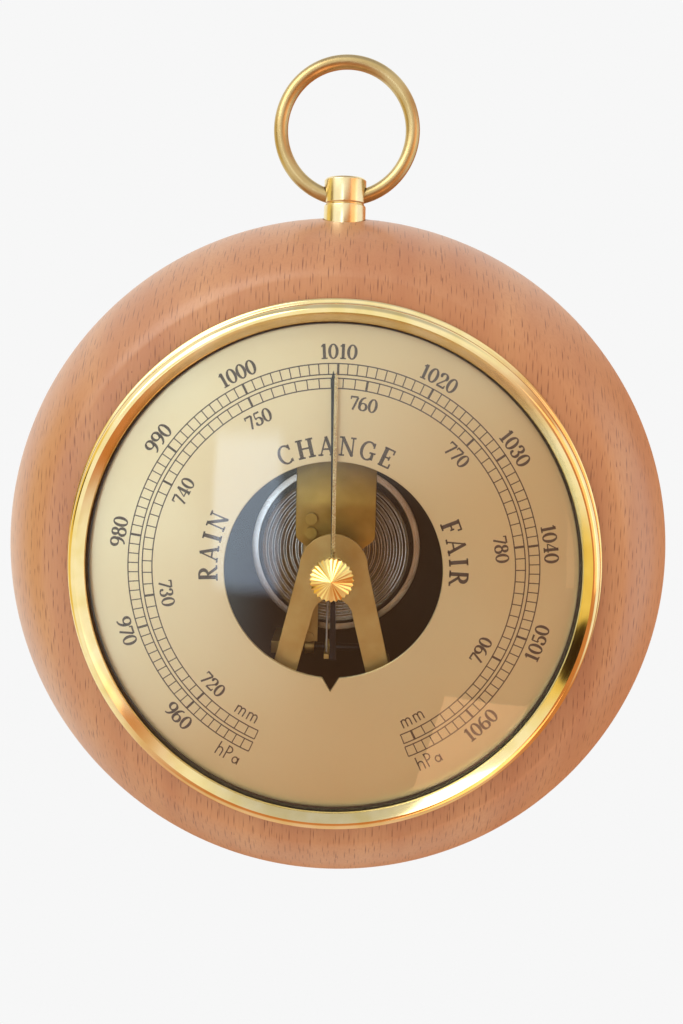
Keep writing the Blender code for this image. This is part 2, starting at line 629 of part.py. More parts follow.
def make_base_plate():
    """Round plate that carries the movement."""
    base = cylinder("base_plate", PLATE_RADIUS, PLATE_BACK, PLATE_FRONT, facing(), FINE)
    holes = [(x, z, SCREW_RADIUS) for x, z in screw_places()]
    holes += [(0.0, SPRING_FOOT_Z, CALIBRATION_RADIUS), (0.0, CAPSULE_Z, CAPSULE_STUD_RADIUS)]
    for number, (x, z, radius) in enumerate(holes, start=1):
        drill(base, f"base_hole_{number}", radius + GAP, PLATE_BACK - OVERCUT, PLATE_FRONT + OVERCUT,
              facing(x, z))
    return finish(base, "zinc_plated_steel")


def make_base_screws():
    """Wood screws that hold the base plate and the can to the case."""
    for number, centre in enumerate(screw_places(), start=1):
        slotted_screw(f"base_screw_{number}", SCREW_RADIUS, SCREW_HEAD_RADIUS,
                      CASE_FLOOR - SCREW_DEPTH_IN_WOOD, ON_PLATE, SCREW_HEAD_HEIGHT, centre,
                      slot_angle=SLOT_TURNS["base"] * number)


def make_calibration_screw():
    """Slotted screw in the case's back that bears on the mainspring's foot."""
    head_back = CALIBRATION_RECESS
    head_front = head_back + CALIBRATION_HEAD_HEIGHT
    frame = facing(0.0, SPRING_FOOT_Z)
    profile = [(0.0, head_back), (CALIBRATION_HEAD_RADIUS, head_back),
               (CALIBRATION_HEAD_RADIUS, head_front), (CALIBRATION_RADIUS, head_front),
               (CALIBRATION_RADIUS, PLATE_FRONT), (0.0, PLATE_FRONT)]
    screw = spun("calibration_screw", profile, COARSE, frame, closed=False)
    reach = CALIBRATION_HEAD_RADIUS + OVERCUT
    cut(screw, block("calibration_slot", (-reach, reach), (-SCREW_SLOT / 2, SCREW_SLOT / 2),
                     (head_back - OVERCUT, head_back + CALIBRATION_HEAD_HEIGHT / 2), frame))
    return finish(screw, "polished_brass")


def diaphragm(rim_depth, outward):
    """One corrugated half of the capsule as a list of (radius, depth), from its rim to its centre.

    outward is +1 for the front half and -1 for the back half.
    """
    slope_start = CAPSULE_RADIUS - CAPSULE_RIM
    crest = rim_depth + outward * CAPSULE_RISE
    points = [(CAPSULE_RADIUS, rim_depth), (slope_start, rim_depth),
              (slope_start - CAPSULE_RISE * CAPSULE_SLOPE, crest)]
    steps = 2 * CAPSULE_WAVES
    outermost = slope_start - CAPSULE_RISE * CAPSULE_SLOPE
    for i in range(1, steps + 1):
        radius = outermost + (CAPSULE_CENTRE_RADIUS - outermost) * i / (steps + 1)
        height = CAPSULE_WAVE_HEIGHT * (1 if i % 2 else 0)
        points.append((radius, crest - outward * height))
    points.append((CAPSULE_CENTRE_RADIUS, crest))
    return points


def make_capsule():
    """The sealed corrugated capsule, its foot, and the collar that carries the post."""
    foot_frame = facing(0.0, CAPSULE_Z)
    foot = [(0.0, PLATE_BACK + PIN_SHY), (CAPSULE_STUD_RADIUS, PLATE_BACK + PIN_SHY),
            (CAPSULE_STUD_RADIUS, ON_PLATE), (CAPSULE_FOOT_RADIUS, ON_PLATE),
            (CAPSULE_FOOT_RADIUS, CAPSULE_FOOT_TOP), (0.0, CAPSULE_FOOT_TOP)]
    finish(spun("capsule_foot", foot, COARSE, foot_frame, closed=False), "zinc_plated_steel")

    back_outer = diaphragm(CAPSULE_JOIN - CAPSULE_WALL, -1)
    back_inner = diaphragm(CAPSULE_JOIN, -1)
    back = [(0.0, back_outer[-1][1])] + back_outer[::-1] + back_inner + [(0.0, back_inner[-1][1])]
    finish(spun("capsule_back", back, MEDIUM, foot_frame, closed=False), "nickel_silver")

    front_inner = diaphragm(CAPSULE_JOIN + GAP, 1)
    front_outer = diaphragm(CAPSULE_JOIN + GAP + CAPSULE_WALL, 1)
    bore = POST_RADIUS + RUNNING_GAP
    collar = [(bore + COLLAR_WALL, CAPSULE_TOP), (bore + COLLAR_WALL, CAPSULE_TOP + COLLAR_HEIGHT),
              (bore, CAPSULE_TOP + COLLAR_HEIGHT), (bore, CAPSULE_TOP), (0.0, CAPSULE_TOP)]
    front = [(0.0, front_inner[-1][1])] + front_inner[::-1] + front_outer + collar
    finish(spun("capsule_front", front, MEDIUM, foot_frame, closed=False), "nickel_silver")


def spring_path():
    """The strap's centre line as (z, depth, half width), from its tongue round to its foot."""
    foot_depth = ON_PLATE + SPRING_FOOT_HEIGHT + GAP + SPRING_THICKNESS / 2
    foot_front = SPRING_FOOT_Z + SPRING_FOOT_LENGTH / 2
    loop_radius = (SPRING_BACK_DEPTH - foot_depth) / 2
    loop = arc((foot_front - SPRING_LOOP_BELOW, foot_depth + loop_radius),
               (loop_radius * SPRING_LOOP_SHAPE, loop_radius), 80, -90, 7)
    neck = SPRING_SHOULDER_Z - SPRING_NECK
    path = [(SPRING_TONGUE_Z, SPRING_TONGUE_DEPTH, SPRING_TONGUE_HALF_WIDTH),
            (neck, spring_depth(neck), SPRING_TONGUE_HALF_WIDTH),
            (SPRING_SHOULDER_Z, spring_depth(SPRING_SHOULDER_Z), SPRING_HALF_WIDTH),
            (SPRING_BEND_Z, SPRING_BEND_DEPTH, SPRING_HALF_WIDTH),
            (SPRING_BACK_Z, SPRING_BACK_DEPTH + SPRING_BACK_LIFT, SPRING_HALF_WIDTH)]
    path += [(z, depth, SPRING_HALF_WIDTH) for z, depth in loop]
    path.append((SPRING_FOOT_Z - SPRING_FOOT_LENGTH / 2, foot_depth, SPRING_HALF_WIDTH))
    return path


def spring_depth(z):
    """Depth of the strap's centre line on its straight front run."""
    share = (z - SPRING_TONGUE_Z) / (SPRING_BEND_Z - SPRING_TONGUE_Z)
    return SPRING_TONGUE_DEPTH + share * (SPRING_BEND_DEPTH - SPRING_TONGUE_DEPTH)


def strap_sections(path, thickness):
    """Rectangles across a path in the upright plane, each square to the path's direction."""
    points = [Vector((z, depth)) for z, depth, _ in path]
    sections = []
    for i, (_, _, half_width) in enumerate(path):
        ahead = points[min(i + 1, len(points) - 1)] - points[i]
        behind = points[i] - points[max(i - 1, 0)]
        along = (ahead.normalized() + behind.normalized()).normalized()
        normal = Vector((-along.y, along.x)) * thickness / 2
        front, back = points[i] + normal, points[i] - normal
        sections.append([(-half_width, front.x, front.y), (half_width, front.x, front.y),
                         (half_width, back.x, back.y), (-half_width, back.x, back.y)])
    return sections


def spring_screw_places():
    """Where the two screws through the strap's foot stand."""
    return [(side * SPRING_SCREW_X, SPRING_FOOT_Z - SPRING_FOOT_LENGTH / 4) for side in (-1, 1)]


def rivet_places():
    """Where the two rivets that join the lever arm to the strap stand."""
    upper = LEVER_TOP_Z - RIVET_FROM_TOP
    return [(LEVER_X, upper), (LEVER_X, upper - RIVET_SPACING)]


def make_mainspring():
    """Bent strap: a foot on its block, a loop, a broad front run and a tongue over the capsule."""
    spring = lofted("mainspring", strap_sections(spring_path(), SPRING_THICKNESS), facing())
    foot_depth = ON_PLATE + SPRING_FOOT_HEIGHT
    for number, centre in enumerate(spring_screw_places(), start=1):
        drill(spring, f"spring_foot_hole_{number}", SPRING_SCREW_RADIUS + RUNNING_GAP, foot_depth - OVERCUT,
              foot_depth + STRAP_HOLE_REACH, facing(*centre))
    for number, centre in enumerate(rivet_places(), start=1):
        drill(spring, f"spring_rivet_hole_{number}", RIVET_RADIUS + GAP, LEVER_DEPTH,
              SPRING_BEND_DEPTH + STRAP_HOLE_REACH, facing(*centre))
    return finish(spring, "spring_brass")


def make_spring_foot():
    """Block under the strap's foot, with its two screws."""
    top = ON_PLATE + SPRING_FOOT_HEIGHT
    half = SPRING_FOOT_LENGTH / 2
    foot = block("spring_foot", (-SPRING_HALF_WIDTH - FOOT_MARGIN, SPRING_HALF_WIDTH + FOOT_MARGIN),
                 (SPRING_FOOT_Z - half, SPRING_FOOT_Z + half), (ON_PLATE, top), facing())
    seat = top + GAP + SPRING_THICKNESS + RUNNING_GAP
    for number, centre in enumerate(spring_screw_places(), start=1):
        drill(foot, f"foot_hole_{number}", SPRING_SCREW_RADIUS + GAP, ON_PLATE + FOOT_HOLE_FLOOR,
              top + OVERCUT, facing(*centre))
        slotted_screw(f"spring_screw_{number}", SPRING_SCREW_RADIUS, SPRING_SCREW_HEAD_RADIUS,
                      ON_PLATE + SPRING_SCREW_LIFT, seat, SPRING_SCREW_HEAD_HEIGHT, centre,
                      slot_angle=SLOT_TURNS["spring"] * number)
    return finish(foot, "zinc_plated_steel")


def make_lever_arm():
    """Narrow arm riveted behind the strap; its free end moves the link."""
    low = link_z() - LEVER_END
    arm = block("lever_arm", (LEVER_X - LEVER_WIDTH / 2, LEVER_X + LEVER_WIDTH / 2),
                (low, LEVER_TOP_Z), (LEVER_DEPTH, LEVER_DEPTH + LEVER_THICKNESS), facing())
    holes = [(LEVER_X, link_z(), LINK_RADIUS + RUNNING_GAP)]
    holes += [(x, z, RIVET_RADIUS + GAP) for x, z in rivet_places()]
    for number, (x, z, radius) in enumerate(holes, start=1):
        drill(arm, f"lever_hole_{number}", radius, LEVER_DEPTH - OVERCUT,
              LEVER_DEPTH + LEVER_THICKNESS + OVERCUT, facing(x, z))
    return finish(arm, "satin_brass")


def link_z():
    """Height of the link, over the crank's free end."""
    return ROCKER_Z + CRANK_LENGTH


def make_rivets():
    """Two round-headed rivets through the strap and the lever arm."""
    rivets = []
    for number, centre in enumerate(rivet_places(), start=1):
        seat = spring_depth(centre[1]) + SPRING_THICKNESS / 2 + RIVET_CLEARANCE
        rivet = headed_pin(f"lever_rivet_{number}", RIVET_RADIUS, RIVET_HEAD_RADIUS,
                           LEVER_DEPTH + PIN_SHY, seat, RIVET_HEAD_HEIGHT, facing(*centre))
        rivets.append(finish(rivet, "polished_brass"))
    return rivets


def make_capsule_post():
    """Post between the capsule's collar and the strap's tongue."""
    top = spring_depth(CAPSULE_Z) - SPRING_THICKNESS / 2 - GAP
    post = cylinder("capsule_post", POST_RADIUS, CAPSULE_TOP + POST_LIFT, top, facing(0.0, CAPSULE_Z))
    return finish(post, "nickel_silver")


def make_link():
    """Headed pin that hangs from the lever arm and pushes the crank."""
    low = ROCKER_DEPTH + CRANK_WIDTH / 2 + GAP
    seat = LEVER_DEPTH + LEVER_THICKNESS + RUNNING_GAP
    link = headed_pin("link_rod", LINK_RADIUS, LINK_HEAD_RADIUS, low, seat, LINK_HEAD_HEIGHT,
                      facing(LEVER_X, link_z()))
    return finish(link, "polished_brass")


def rocker_piece(name, x, thickness, tip, half_width):
    """An arm on the rocker shaft, from a round hub to a tip given as (z, depth) from the shaft."""
    low, high = x - thickness / 2, x + thickness / 2
    reach = sqrt(tip[0] ** 2 + tip[1] ** 2)
    spread = degrees(atan2(half_width, sqrt(CRANK_HUB_RADIUS ** 2 - half_width ** 2)))
    turn = Matrix.Rotation(atan2(tip[1], tip[0]), 4, "Z")
    hub = arc((0.0, 0.0), (CRANK_HUB_RADIUS, CRANK_HUB_RADIUS), spread, 360.0 - spread, COARSE)
    outline = hub + [(reach, -half_width), (reach, half_width)]
    frame = crosswise(ROCKER_Z, ROCKER_DEPTH)
    arm = plate(name, outline, low, high, frame @ turn)
    drill(arm, f"{name}_bore", ROCKER_RADIUS + GAP, low - OVERCUT, high + OVERCUT, frame)
    return finish(arm, "satin_brass")


def make_rocker():
    """The shaft across the movement with its crank and its long arm, and the two posts that carry it."""
    overhang = BEARING_WIDTH / 2 + SHAFT_OVERHANG
    shaft = cylinder("rocker_shaft", ROCKER_RADIUS, ROCKER_LEFT_X - overhang, ROCKER_RIGHT_X + overhang,
                     crosswise(ROCKER_Z, ROCKER_DEPTH))
    finish(shaft, "blackened_steel")
    half = CRANK_WIDTH / 2
    crank = rocker_piece("rocker_crank", LEVER_X, CRANK_THICKNESS, (CRANK_LENGTH + half, 0.0), half)
    arm = rocker_piece("rocker_arm", CHAIN_X, ARM_WIDTH, (0.0, ARM_LENGTH), ARM_WIDTH / 2)
    for name, x in (("rocker_bearing_left", ROCKER_LEFT_X), ("rocker_bearing_right", ROCKER_RIGHT_X)):
        width = (x - BEARING_WIDTH / 2, x + BEARING_WIDTH / 2)
        height = (ROCKER_Z - BEARING_WIDTH / 2, ROCKER_Z + BEARING_WIDTH / 2)
        post = block(name, width, height, (ON_PLATE, ROCKER_DEPTH + BEARING_HEAD), facing())
        drill(post, f"{name}_bore", ROCKER_RADIUS + GAP, width[0] - OVERCUT, width[1] + OVERCUT,
              crosswise(ROCKER_Z, ROCKER_DEPTH))
        finish(post, "satin_brass")
    return [shaft, crank, arm]


def make_chain():
    """Fine chain from the long arm up to the drum on the hand's arbor, as one thin rod."""
    low = ROCKER_Z + ARM_WIDTH / 2 + RUNNING_GAP
    chain = cylinder("chain", CHAIN_RADIUS, low, 0.0, upright(CHAIN_X, CHAIN_DEPTH), FINE_ROD)
    return finish(chain, "zinc_plated_steel")


def make_bridge():
    """Plate with a round head over the arbor and two spread legs on pillars."""
    crown = arc((0.0, 0.0), (BRIDGE_HEAD_RADIUS, BRIDGE_HEAD_RADIUS), 0, 180, 14)
    arch = arc((0.0, BRIDGE_ARCH_Z), (BRIDGE_ARCH_RADIUS, BRIDGE_ARCH_RADIUS), 180, 0, 8)
    outline = crown + [(-BRIDGE_LEG_OUTER_X, BRIDGE_LEG_Z), (-BRIDGE_LEG_INNER_X, BRIDGE_LEG_Z)]
    outline += arch + [(BRIDGE_LEG_INNER_X, BRIDGE_LEG_Z), (BRIDGE_LEG_OUTER_X, BRIDGE_LEG_Z)]
    bridge = plate("bridge", outline, BRIDGE_DEPTH, BRIDGE_FRONT, facing())
    drill(bridge, "bridge_bush_hole", ARBOR_BUSH_RADIUS + GAP, BRIDGE_DEPTH - OVERCUT,
          BRIDGE_FRONT + OVERCUT, facing())
    for name, side in (("left", -1), ("right", 1)):
        centre = (side * PILLAR_X, PILLAR_Z)
        drill(bridge, f"bridge_hole_{name}", BRIDGE_SCREW_RADIUS + GAP, BRIDGE_DEPTH - OVERCUT,
              BRIDGE_FRONT + OVERCUT, facing(*centre))
        pillar_top = BRIDGE_DEPTH - GAP
        pillar = cylinder(f"bridge_pillar_{name}", PILLAR_RADIUS, ON_PLATE, pillar_top, facing(*centre))
        drill(pillar, f"pillar_hole_{name}", BRIDGE_SCREW_RADIUS + GAP, pillar_top - PILLAR_HOLE_DEPTH,
              pillar_top + OVERCUT, facing(*centre), FINE_ROD)
        finish(pillar, "satin_brass")
        slotted_screw(f"bridge_screw_{name}", BRIDGE_SCREW_RADIUS, BRIDGE_SCREW_HEAD_RADIUS,
                      pillar_top - BRIDGE_SCREW_LENGTH, BRIDGE_FRONT + GAP, BRIDGE_SCREW_HEAD_HEIGHT, centre,
                      slot_angle=SLOT_TURNS["bridge"] * side)
    return finish(bridge, "satin_brass")


def make_arbor_bush():
    """Flanged bush in the bridge's head."""
    inner = ARBOR_RADIUS + GAP
    back = BRIDGE_DEPTH - ARBOR_BUSH_BELOW
    seat = BRIDGE_FRONT + GAP
    profile = [(inner, back), (ARBOR_BUSH_RADIUS, back), (ARBOR_BUSH_RADIUS, seat),
               (ARBOR_FLANGE_RADIUS, seat), (ARBOR_FLANGE_RADIUS, seat + ARBOR_FLANGE_HEIGHT),
               (ARBOR_BUSH_RADIUS, seat + ARBOR_FLANGE_HEIGHT),
               (ARBOR_BUSH_RADIUS, BRIDGE_FRONT + ARBOR_BUSH_ABOVE), (inner, BRIDGE_FRONT + ARBOR_BUSH_ABOVE)]
    return finish(spun("arbor_bush", profile, COARSE, facing()), "polished_brass")


def make_arbor():
    """The hand's arbor with the hairspring's collet and the chain's drum turned on it."""
    collet = collet_depth()
    drum_back = CHAIN_DEPTH - DRUM_OVERHANG
    drum_front = BRIDGE_DEPTH - ARBOR_BUSH_BELOW - GAP
    profile = [(0.0, collet - ARBOR_END), (ARBOR_RADIUS, collet - ARBOR_END), (ARBOR_RADIUS, collet),
               (COLLET_RADIUS, collet), (COLLET_RADIUS, collet + COLLET_HEIGHT),
               (ARBOR_RADIUS, collet + COLLET_HEIGHT), (ARBOR_RADIUS, drum_back),
               (DRUM_RADIUS, drum_back), (DRUM_RADIUS, drum_front), (ARBOR_RADIUS, drum_front),
               (ARBOR_RADIUS, HAND_BACK + HAND_THICKNESS), (0.0, HAND_BACK + HAND_THICKNESS)]
    return finish(spun("hand_arbor", profile, COARSE, facing(), closed=False), "blackened_steel")


def collet_depth():
    """Back face of the hairspring's collet."""
    return CHAIN_DEPTH - COLLET_BELOW_CHAIN


def hairspring_depth():
    """Back edge of the hairspring's strip, centred on the collet."""
    return collet_depth() + (COLLET_HEIGHT - HAIRSPRING_WIDTH) / 2


def make_hairspring():
    """Flat spiral round the collet, and the stud under the bridge that holds its outer end."""
    inner = COLLET_RADIUS + GAP + HAIRSPRING_THICKNESS / 2
    low = hairspring_depth()
    high = low + HAIRSPRING_WIDTH
    count = round(HAIRSPRING_TURNS * HAIRSPRING_STEPS)
    sections = []
    for i in range(count + 1):
        angle = 2 * pi * HAIRSPRING_TURNS * (i / count - 1)
        middle = inner + (HAIRSPRING_RADIUS - inner) * i / count
        near, far = middle - HAIRSPRING_THICKNESS / 2, middle + HAIRSPRING_THICKNESS / 2
        sections.append([(radius * cos(angle), radius * sin(angle), height)
                         for radius, height in ((near, low), (far, low), (far, high), (near, high))])
    finish(lofted("hairspring", sections, facing()), "spring_brass")
    stud_low = HAIRSPRING_RADIUS + HAIRSPRING_THICKNESS / 2 + GAP
    stud = block("hairspring_stud", (stud_low, stud_low + HAIRSPRING_STUD_LENGTH),
                 (-HAIRSPRING_STUD_HALF_WIDTH, HAIRSPRING_STUD_HALF_WIDTH), (low, BRIDGE_DEPTH - GAP),
                 facing())
    finish(stud, "satin_brass")


# The hands

def hand(name, length, width, tail, tail_width, back, bore, angle, finish_name):
    """Flat pointed hand with a round bored hub, and a tail that widens if it has one."""
    half = width / 2
    top = degrees(atan2(sqrt(HAND_HUB_RADIUS ** 2 - half ** 2), half))
    bottom = -top if tail else -90.0
    right = [(half, length - 2 * width)] + arc((0.0, 0.0), (HAND_HUB_RADIUS, HAND_HUB_RADIUS), top, bottom, 6)
    if tail:
        right.append((tail_width / 2, -tail))
    left = [(-x, y) for x, y in reversed(right) if x > MERGE]
    frame = facing() @ Matrix.Rotation(radians(-angle), 4, "Z")
    blade = plate(name, [(0.0, length)] + right + left, back, back + HAND_THICKNESS, frame)
    drill(blade, f"{name}_bore", bore, back - OVERCUT, back + HAND_THICKNESS + OVERCUT, facing())
    return finish(blade, finish_name)


def make_pointer():
    """The black hand, driven by the movement."""
    return hand("pointer", HAND_LENGTH, HAND_WIDTH, HAND_TAIL, HAND_TAIL_WIDTH, HAND_BACK,
                ARBOR_RADIUS + GAP, HAND_ANGLE, "blackened_steel")


def make_set_hand():
    """The brass hand that the reader sets over the black one."""
    return hand("set_hand", SET_HAND_LENGTH, SET_HAND_WIDTH, 0.0, 0.0, SET_HAND_BACK,
                SET_SHAFT_RADIUS + GAP, SET_HAND_ANGLE, "polished_brass")


def make_set_shaft():
    """Shaft from the set hand through the glass into the knob, with a collar below the hand."""
    collar = SET_HAND_BACK - GAP
    low, wide = collar - SET_COLLAR_HEIGHT, HAND_HUB_RADIUS - SET_COLLAR_IN
    profile = [(0.0, low), (wide, low), (wide, collar),
               (SET_SHAFT_RADIUS, collar), (SET_SHAFT_RADIUS, knob_back() + KNOB_RIM),
               (0.0, knob_back() + KNOB_RIM)]
    return finish(spun("set_shaft", profile, COARSE, facing(), closed=False), "satin_brass")


def knob_back():
    """Back face of the setting knob, over the washer."""
    return GLASS_CENTRE_FRONT + GAP + SET_FLANGE_THICKNESS + RUNNING_GAP


def make_set_bush():
    """Flanged bush through the glass and the washer on its front."""
    bore = SET_SHAFT_RADIUS + GAP
    flange = GLASS_CENTRE_BACK - GAP
    washer = GLASS_CENTRE_FRONT + GAP
    profile = [(bore, flange - SET_FLANGE_THICKNESS), (SET_FLANGE_RADIUS, flange - SET_FLANGE_THICKNESS),
               (SET_FLANGE_RADIUS, flange), (SET_BUSH_RADIUS, flange), (SET_BUSH_RADIUS, washer),
               (bore, washer)]
    finish(spun("set_bush", profile, COARSE, facing()), "polished_brass")
    ring = tube("set_washer", bore, SET_FLANGE_RADIUS, washer + GAP, washer + SET_FLANGE_THICKNESS,
                facing(), COARSE)
    finish(ring, "polished_brass")


def make_knob():
    """Setting knob: a rim of small teeth round a low faceted cone, bored for the shaft."""
    count = 2 * KNOB_TEETH
    radii = [KNOB_RADIUS - (KNOB_TOOTH_DEPTH if i % 2 else 0.0) for i in range(count)]
    outline = [(radius * cos(2 * pi * i / count), radius * sin(2 * pi * i / count))
               for i, radius in enumerate(radii)]
    back = knob_back()
    share = 1.0 - KNOB_CHAMFER / KNOB_RADIUS
    sections = [[(x * share, y * share, back) for x, y in outline],
                [(x, y, back + KNOB_CHAMFER) for x, y in outline],
                [(x, y, back + KNOB_RIM) for x, y in outline]]
    knob = lofted("set_knob", sections, facing(), apex=(0.0, 0.0, back + KNOB_RIM + KNOB_CONE))
    drill(knob, "knob_bore", SET_SHAFT_RADIUS + GAP, back - OVERCUT, back + KNOB_RIM + GAP, facing())
    return finish(knob, "polished_brass")


def build():
    """Make every piece and hang the moving ones on their joints' axes."""
    clear_scene()
    make_case()
    make_can()
    make_bezel()
    make_glass()
    make_gasket()
    make_dial()
    make_stud()
    make_base_plate()
    make_base_screws()
    make_calibration_screw()
    make_capsule()
    make_spring_foot()
    make_bridge()
    make_arbor_bush()
    make_hairspring()
    make_set_bush()
    carry(pivot("hand_axis", 0.0, 0.0, HAND_BACK), [make_arbor(), make_pointer()])
    carry(pivot("set_hand_axis", 0.0, 0.0, SET_HAND_BACK), [make_set_shaft(), make_set_hand(), make_knob()])
    carry(pivot("ring_axis", 0.0, BORE_Z, STUD_DEPTH), [make_ring()])
    carry(pivot("spring_axis", 0.0, SPRING_FOOT_Z, SPRING_HINGE_DEPTH),
          [make_mainspring(), make_lever_arm(), make_capsule_post()] + make_rivets())
    carry(pivot("rocker_axis", 0.0, ROCKER_Z, ROCKER_DEPTH), make_rocker())
    carry(pivot("link_line", LEVER_X, link_z(), LEVER_DEPTH), [make_link()])
    carry(pivot("chain_line", CHAIN_X, 0.0, CHAIN_DEPTH), [make_chain()])


build()
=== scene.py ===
# %% [markdown]
# # An aneroid barometer in a beech case
# A sealed metal capsule swells and shrinks with the air's pressure, and levers turn that into the
# sweep of a hand over a printed dial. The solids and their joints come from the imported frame. This
# lesson makes the surfaces that the eye sees: wood, brass, glass, and a dial with its printing.
# Sizes are in millimetres, and "depth" is the distance from the flat back towards the reader.

import bmesh
import bpy
import numpy as np
from mathutils import Matrix, Vector


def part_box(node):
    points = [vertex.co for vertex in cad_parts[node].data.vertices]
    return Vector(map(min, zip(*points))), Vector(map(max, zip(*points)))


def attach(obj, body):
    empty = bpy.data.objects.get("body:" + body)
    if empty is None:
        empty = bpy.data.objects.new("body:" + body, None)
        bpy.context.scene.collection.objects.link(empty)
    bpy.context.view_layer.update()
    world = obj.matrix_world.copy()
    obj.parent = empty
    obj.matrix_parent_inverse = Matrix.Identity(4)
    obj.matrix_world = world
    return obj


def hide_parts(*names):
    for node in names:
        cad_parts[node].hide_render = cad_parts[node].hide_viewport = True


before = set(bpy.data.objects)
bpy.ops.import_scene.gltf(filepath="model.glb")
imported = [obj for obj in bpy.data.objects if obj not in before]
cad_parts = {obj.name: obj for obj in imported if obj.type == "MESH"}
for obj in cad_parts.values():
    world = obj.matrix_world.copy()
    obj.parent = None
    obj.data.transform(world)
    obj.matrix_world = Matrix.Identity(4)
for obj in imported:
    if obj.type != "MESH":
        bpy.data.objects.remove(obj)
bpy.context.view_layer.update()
MM = 0.001

# %% [markdown]
# ## Places come from the CAD solids
# Each finer piece has to sit where its solid sits, so every depth and radius that matters is
# measured from a solid's box. One small function turns a box into millimetres.


# %% Measure a solid
def extent(node):
    """Lowest and highest (x, depth, height) of a CAD node, in millimetres."""
    low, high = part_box(node)
    return np.array([low.x, -high.y, low.z]) / MM, np.array([high.x, -low.y, high.z]) / MM


def back_of(node):
    """Depth of a node's back face."""
    return extent(node)[0][1]


def front_of(node):
    """Depth of a node's front face."""
    return extent(node)[1][1]


def radius_of(node):
    """Half of a round node's width."""
    low, high = extent(node)
    return (high[0] - low[0]) / 2


CASE_RADIUS, CASE_DEPTH = radius_of("wood_case"), front_of("wood_case")
DIAL_FRONT, DIAL_RADIUS = front_of("dial"), radius_of("dial")
print(f"case radius {CASE_RADIUS:.1f}, depth {CASE_DEPTH:.1f}; dial front at {DIAL_FRONT:.1f}")

# %% [markdown]
# ## Two ways to make a surface
# A turned part is a profile carried round an axis, and a strip is a line with a width. Both are
# grids of points, so one function lists the quads of a grid, and one turns points and faces into
# a mesh. Corners are never sharp on a real part, so a third rounds every corner of a profile.


# %% Grids, rounded paths and turned profiles
def grid_quads(rows, columns, ring=False, loop=False):
    """Corner numbers of a grid's quads. ring joins the last row to the first, and loop the columns."""
    numbers = np.arange(rows * columns).reshape(rows, columns)
    numbers = np.vstack([numbers, numbers[:1]]) if ring else numbers
    numbers = np.hstack([numbers, numbers[:, :1]]) if loop else numbers
    corners = (numbers[:-1, :-1], numbers[:-1, 1:], numbers[1:, 1:], numbers[1:, :-1])
    return np.stack(corners, axis=-1).reshape(-1, 4)


def eased(path, radius, steps=4, closed=False):
    """Round a path's corners: each one becomes a parabola that starts and ends `radius` from it.

    A point at share s is (1-s)^2 start + 2s(1-s) corner + s^2 end.
    """
    points = np.asarray(path, float)
    back = np.roll(points, 1, axis=0) - points
    ahead = np.roll(points, -1, axis=0) - points
    lengths = [np.maximum(np.linalg.norm(side, axis=1), 1e-9) for side in (back, ahead)]
    reach = [np.minimum(radius, 0.48 * length) / length for length in lengths]
    start = points + back * reach[0][:, None]
    end = points + ahead * reach[1][:, None]
    share = np.linspace(0.0, 1.0, steps + 1)[:, None, None]
    curve = (1 - share) ** 2 * start + 2 * share * (1 - share) * points + share ** 2 * end
    rounded = curve.transpose(1, 0, 2).reshape(-1, points.shape[1])
    if closed:
        return rounded
    inner = rounded[steps + 1:-(steps + 1)]
    return np.vstack([points[:1], inner, points[-1:]])


def elliptic(centre, radii, start, end, steps):
    """Points on an ellipse from one angle to another, in degrees: centre + radii * (cos, sin)."""
    angle = np.radians(np.linspace(start, end, steps + 1))
    return np.stack([centre[0] + radii[0] * np.cos(angle), centre[1] + radii[1] * np.sin(angle)], axis=1)


def oval(centre, radii, power, steps):
    """A quarter of an oval: (x/a) and (y/b), each raised to the power, add up to one."""
    angle = np.linspace(0.0, np.pi / 2, steps + 1)
    shares = np.stack([np.cos(angle), np.sin(angle)], axis=1).clip(0.0) ** (2.0 / power)
    return np.array(centre) + np.array(radii) * shares


def turn(profile, centre=(0.0, 0.0), axis="reader", steps=192):
    """Carry a profile of (radius, height) round an axis: across = radius * (sin, cos) of the angle.

    The axis points to the reader through (x, height), stands upright through (x, depth), or runs
    along x through (depth, height).
    """
    profile = np.asarray(profile, float)
    angle = np.linspace(0.0, 2 * np.pi, steps, endpoint=False)[:, None]
    first = centre[0] + profile[:, 0] * np.sin(angle)
    second = centre[1] + profile[:, 0] * np.cos(angle)
    along = np.broadcast_to(profile[:, 1], first.shape)
    order = {"reader": (first, along, second), "upright": (first, second, along),
             "cross": (along, first, second)}[axis]
    return np.stack(order, axis=-1)


# %% From points to a piece on its body
MERGE = 1e-6


def mesh_piece(name, points, faces, sharp=35.0, join_flats=False):
    """An object from points (x, depth, height) in millimetres: seams merged, normals outwards."""
    flat = np.asarray(points, float).reshape(-1, 3)
    placed = np.stack([flat[:, 0], -flat[:, 1], flat[:, 2]], axis=1) * MM
    mesh = bpy.data.meshes.new(name)
    mesh.from_pydata(placed.tolist(), [], [list(face) for face in faces])
    bm = bmesh.new()
    bm.from_mesh(mesh)
    bmesh.ops.remove_doubles(bm, verts=bm.verts, dist=MERGE)
    if join_flats:
        bmesh.ops.dissolve_limit(bm, angle_limit=np.radians(0.5), verts=bm.verts, edges=bm.edges)
    bmesh.ops.recalc_face_normals(bm, faces=bm.faces)
    bm.to_mesh(mesh)
    bm.free()
    mesh.shade_smooth()
    mesh.set_sharp_from_angle(angle=np.radians(sharp))
    made = bpy.data.objects.new(name, mesh)
    bpy.context.scene.collection.objects.link(made)
    return made


def turned(name, profile, centre=(0.0, 0.0), axis="reader", steps=192, closed=False, sharp=35.0):
    """A lathe-turned piece; a closed profile is a ring's section."""
    rows = turn(profile, centre, axis, steps)
    return mesh_piece(name, rows, grid_quads(steps, len(profile), ring=True, loop=closed), sharp)


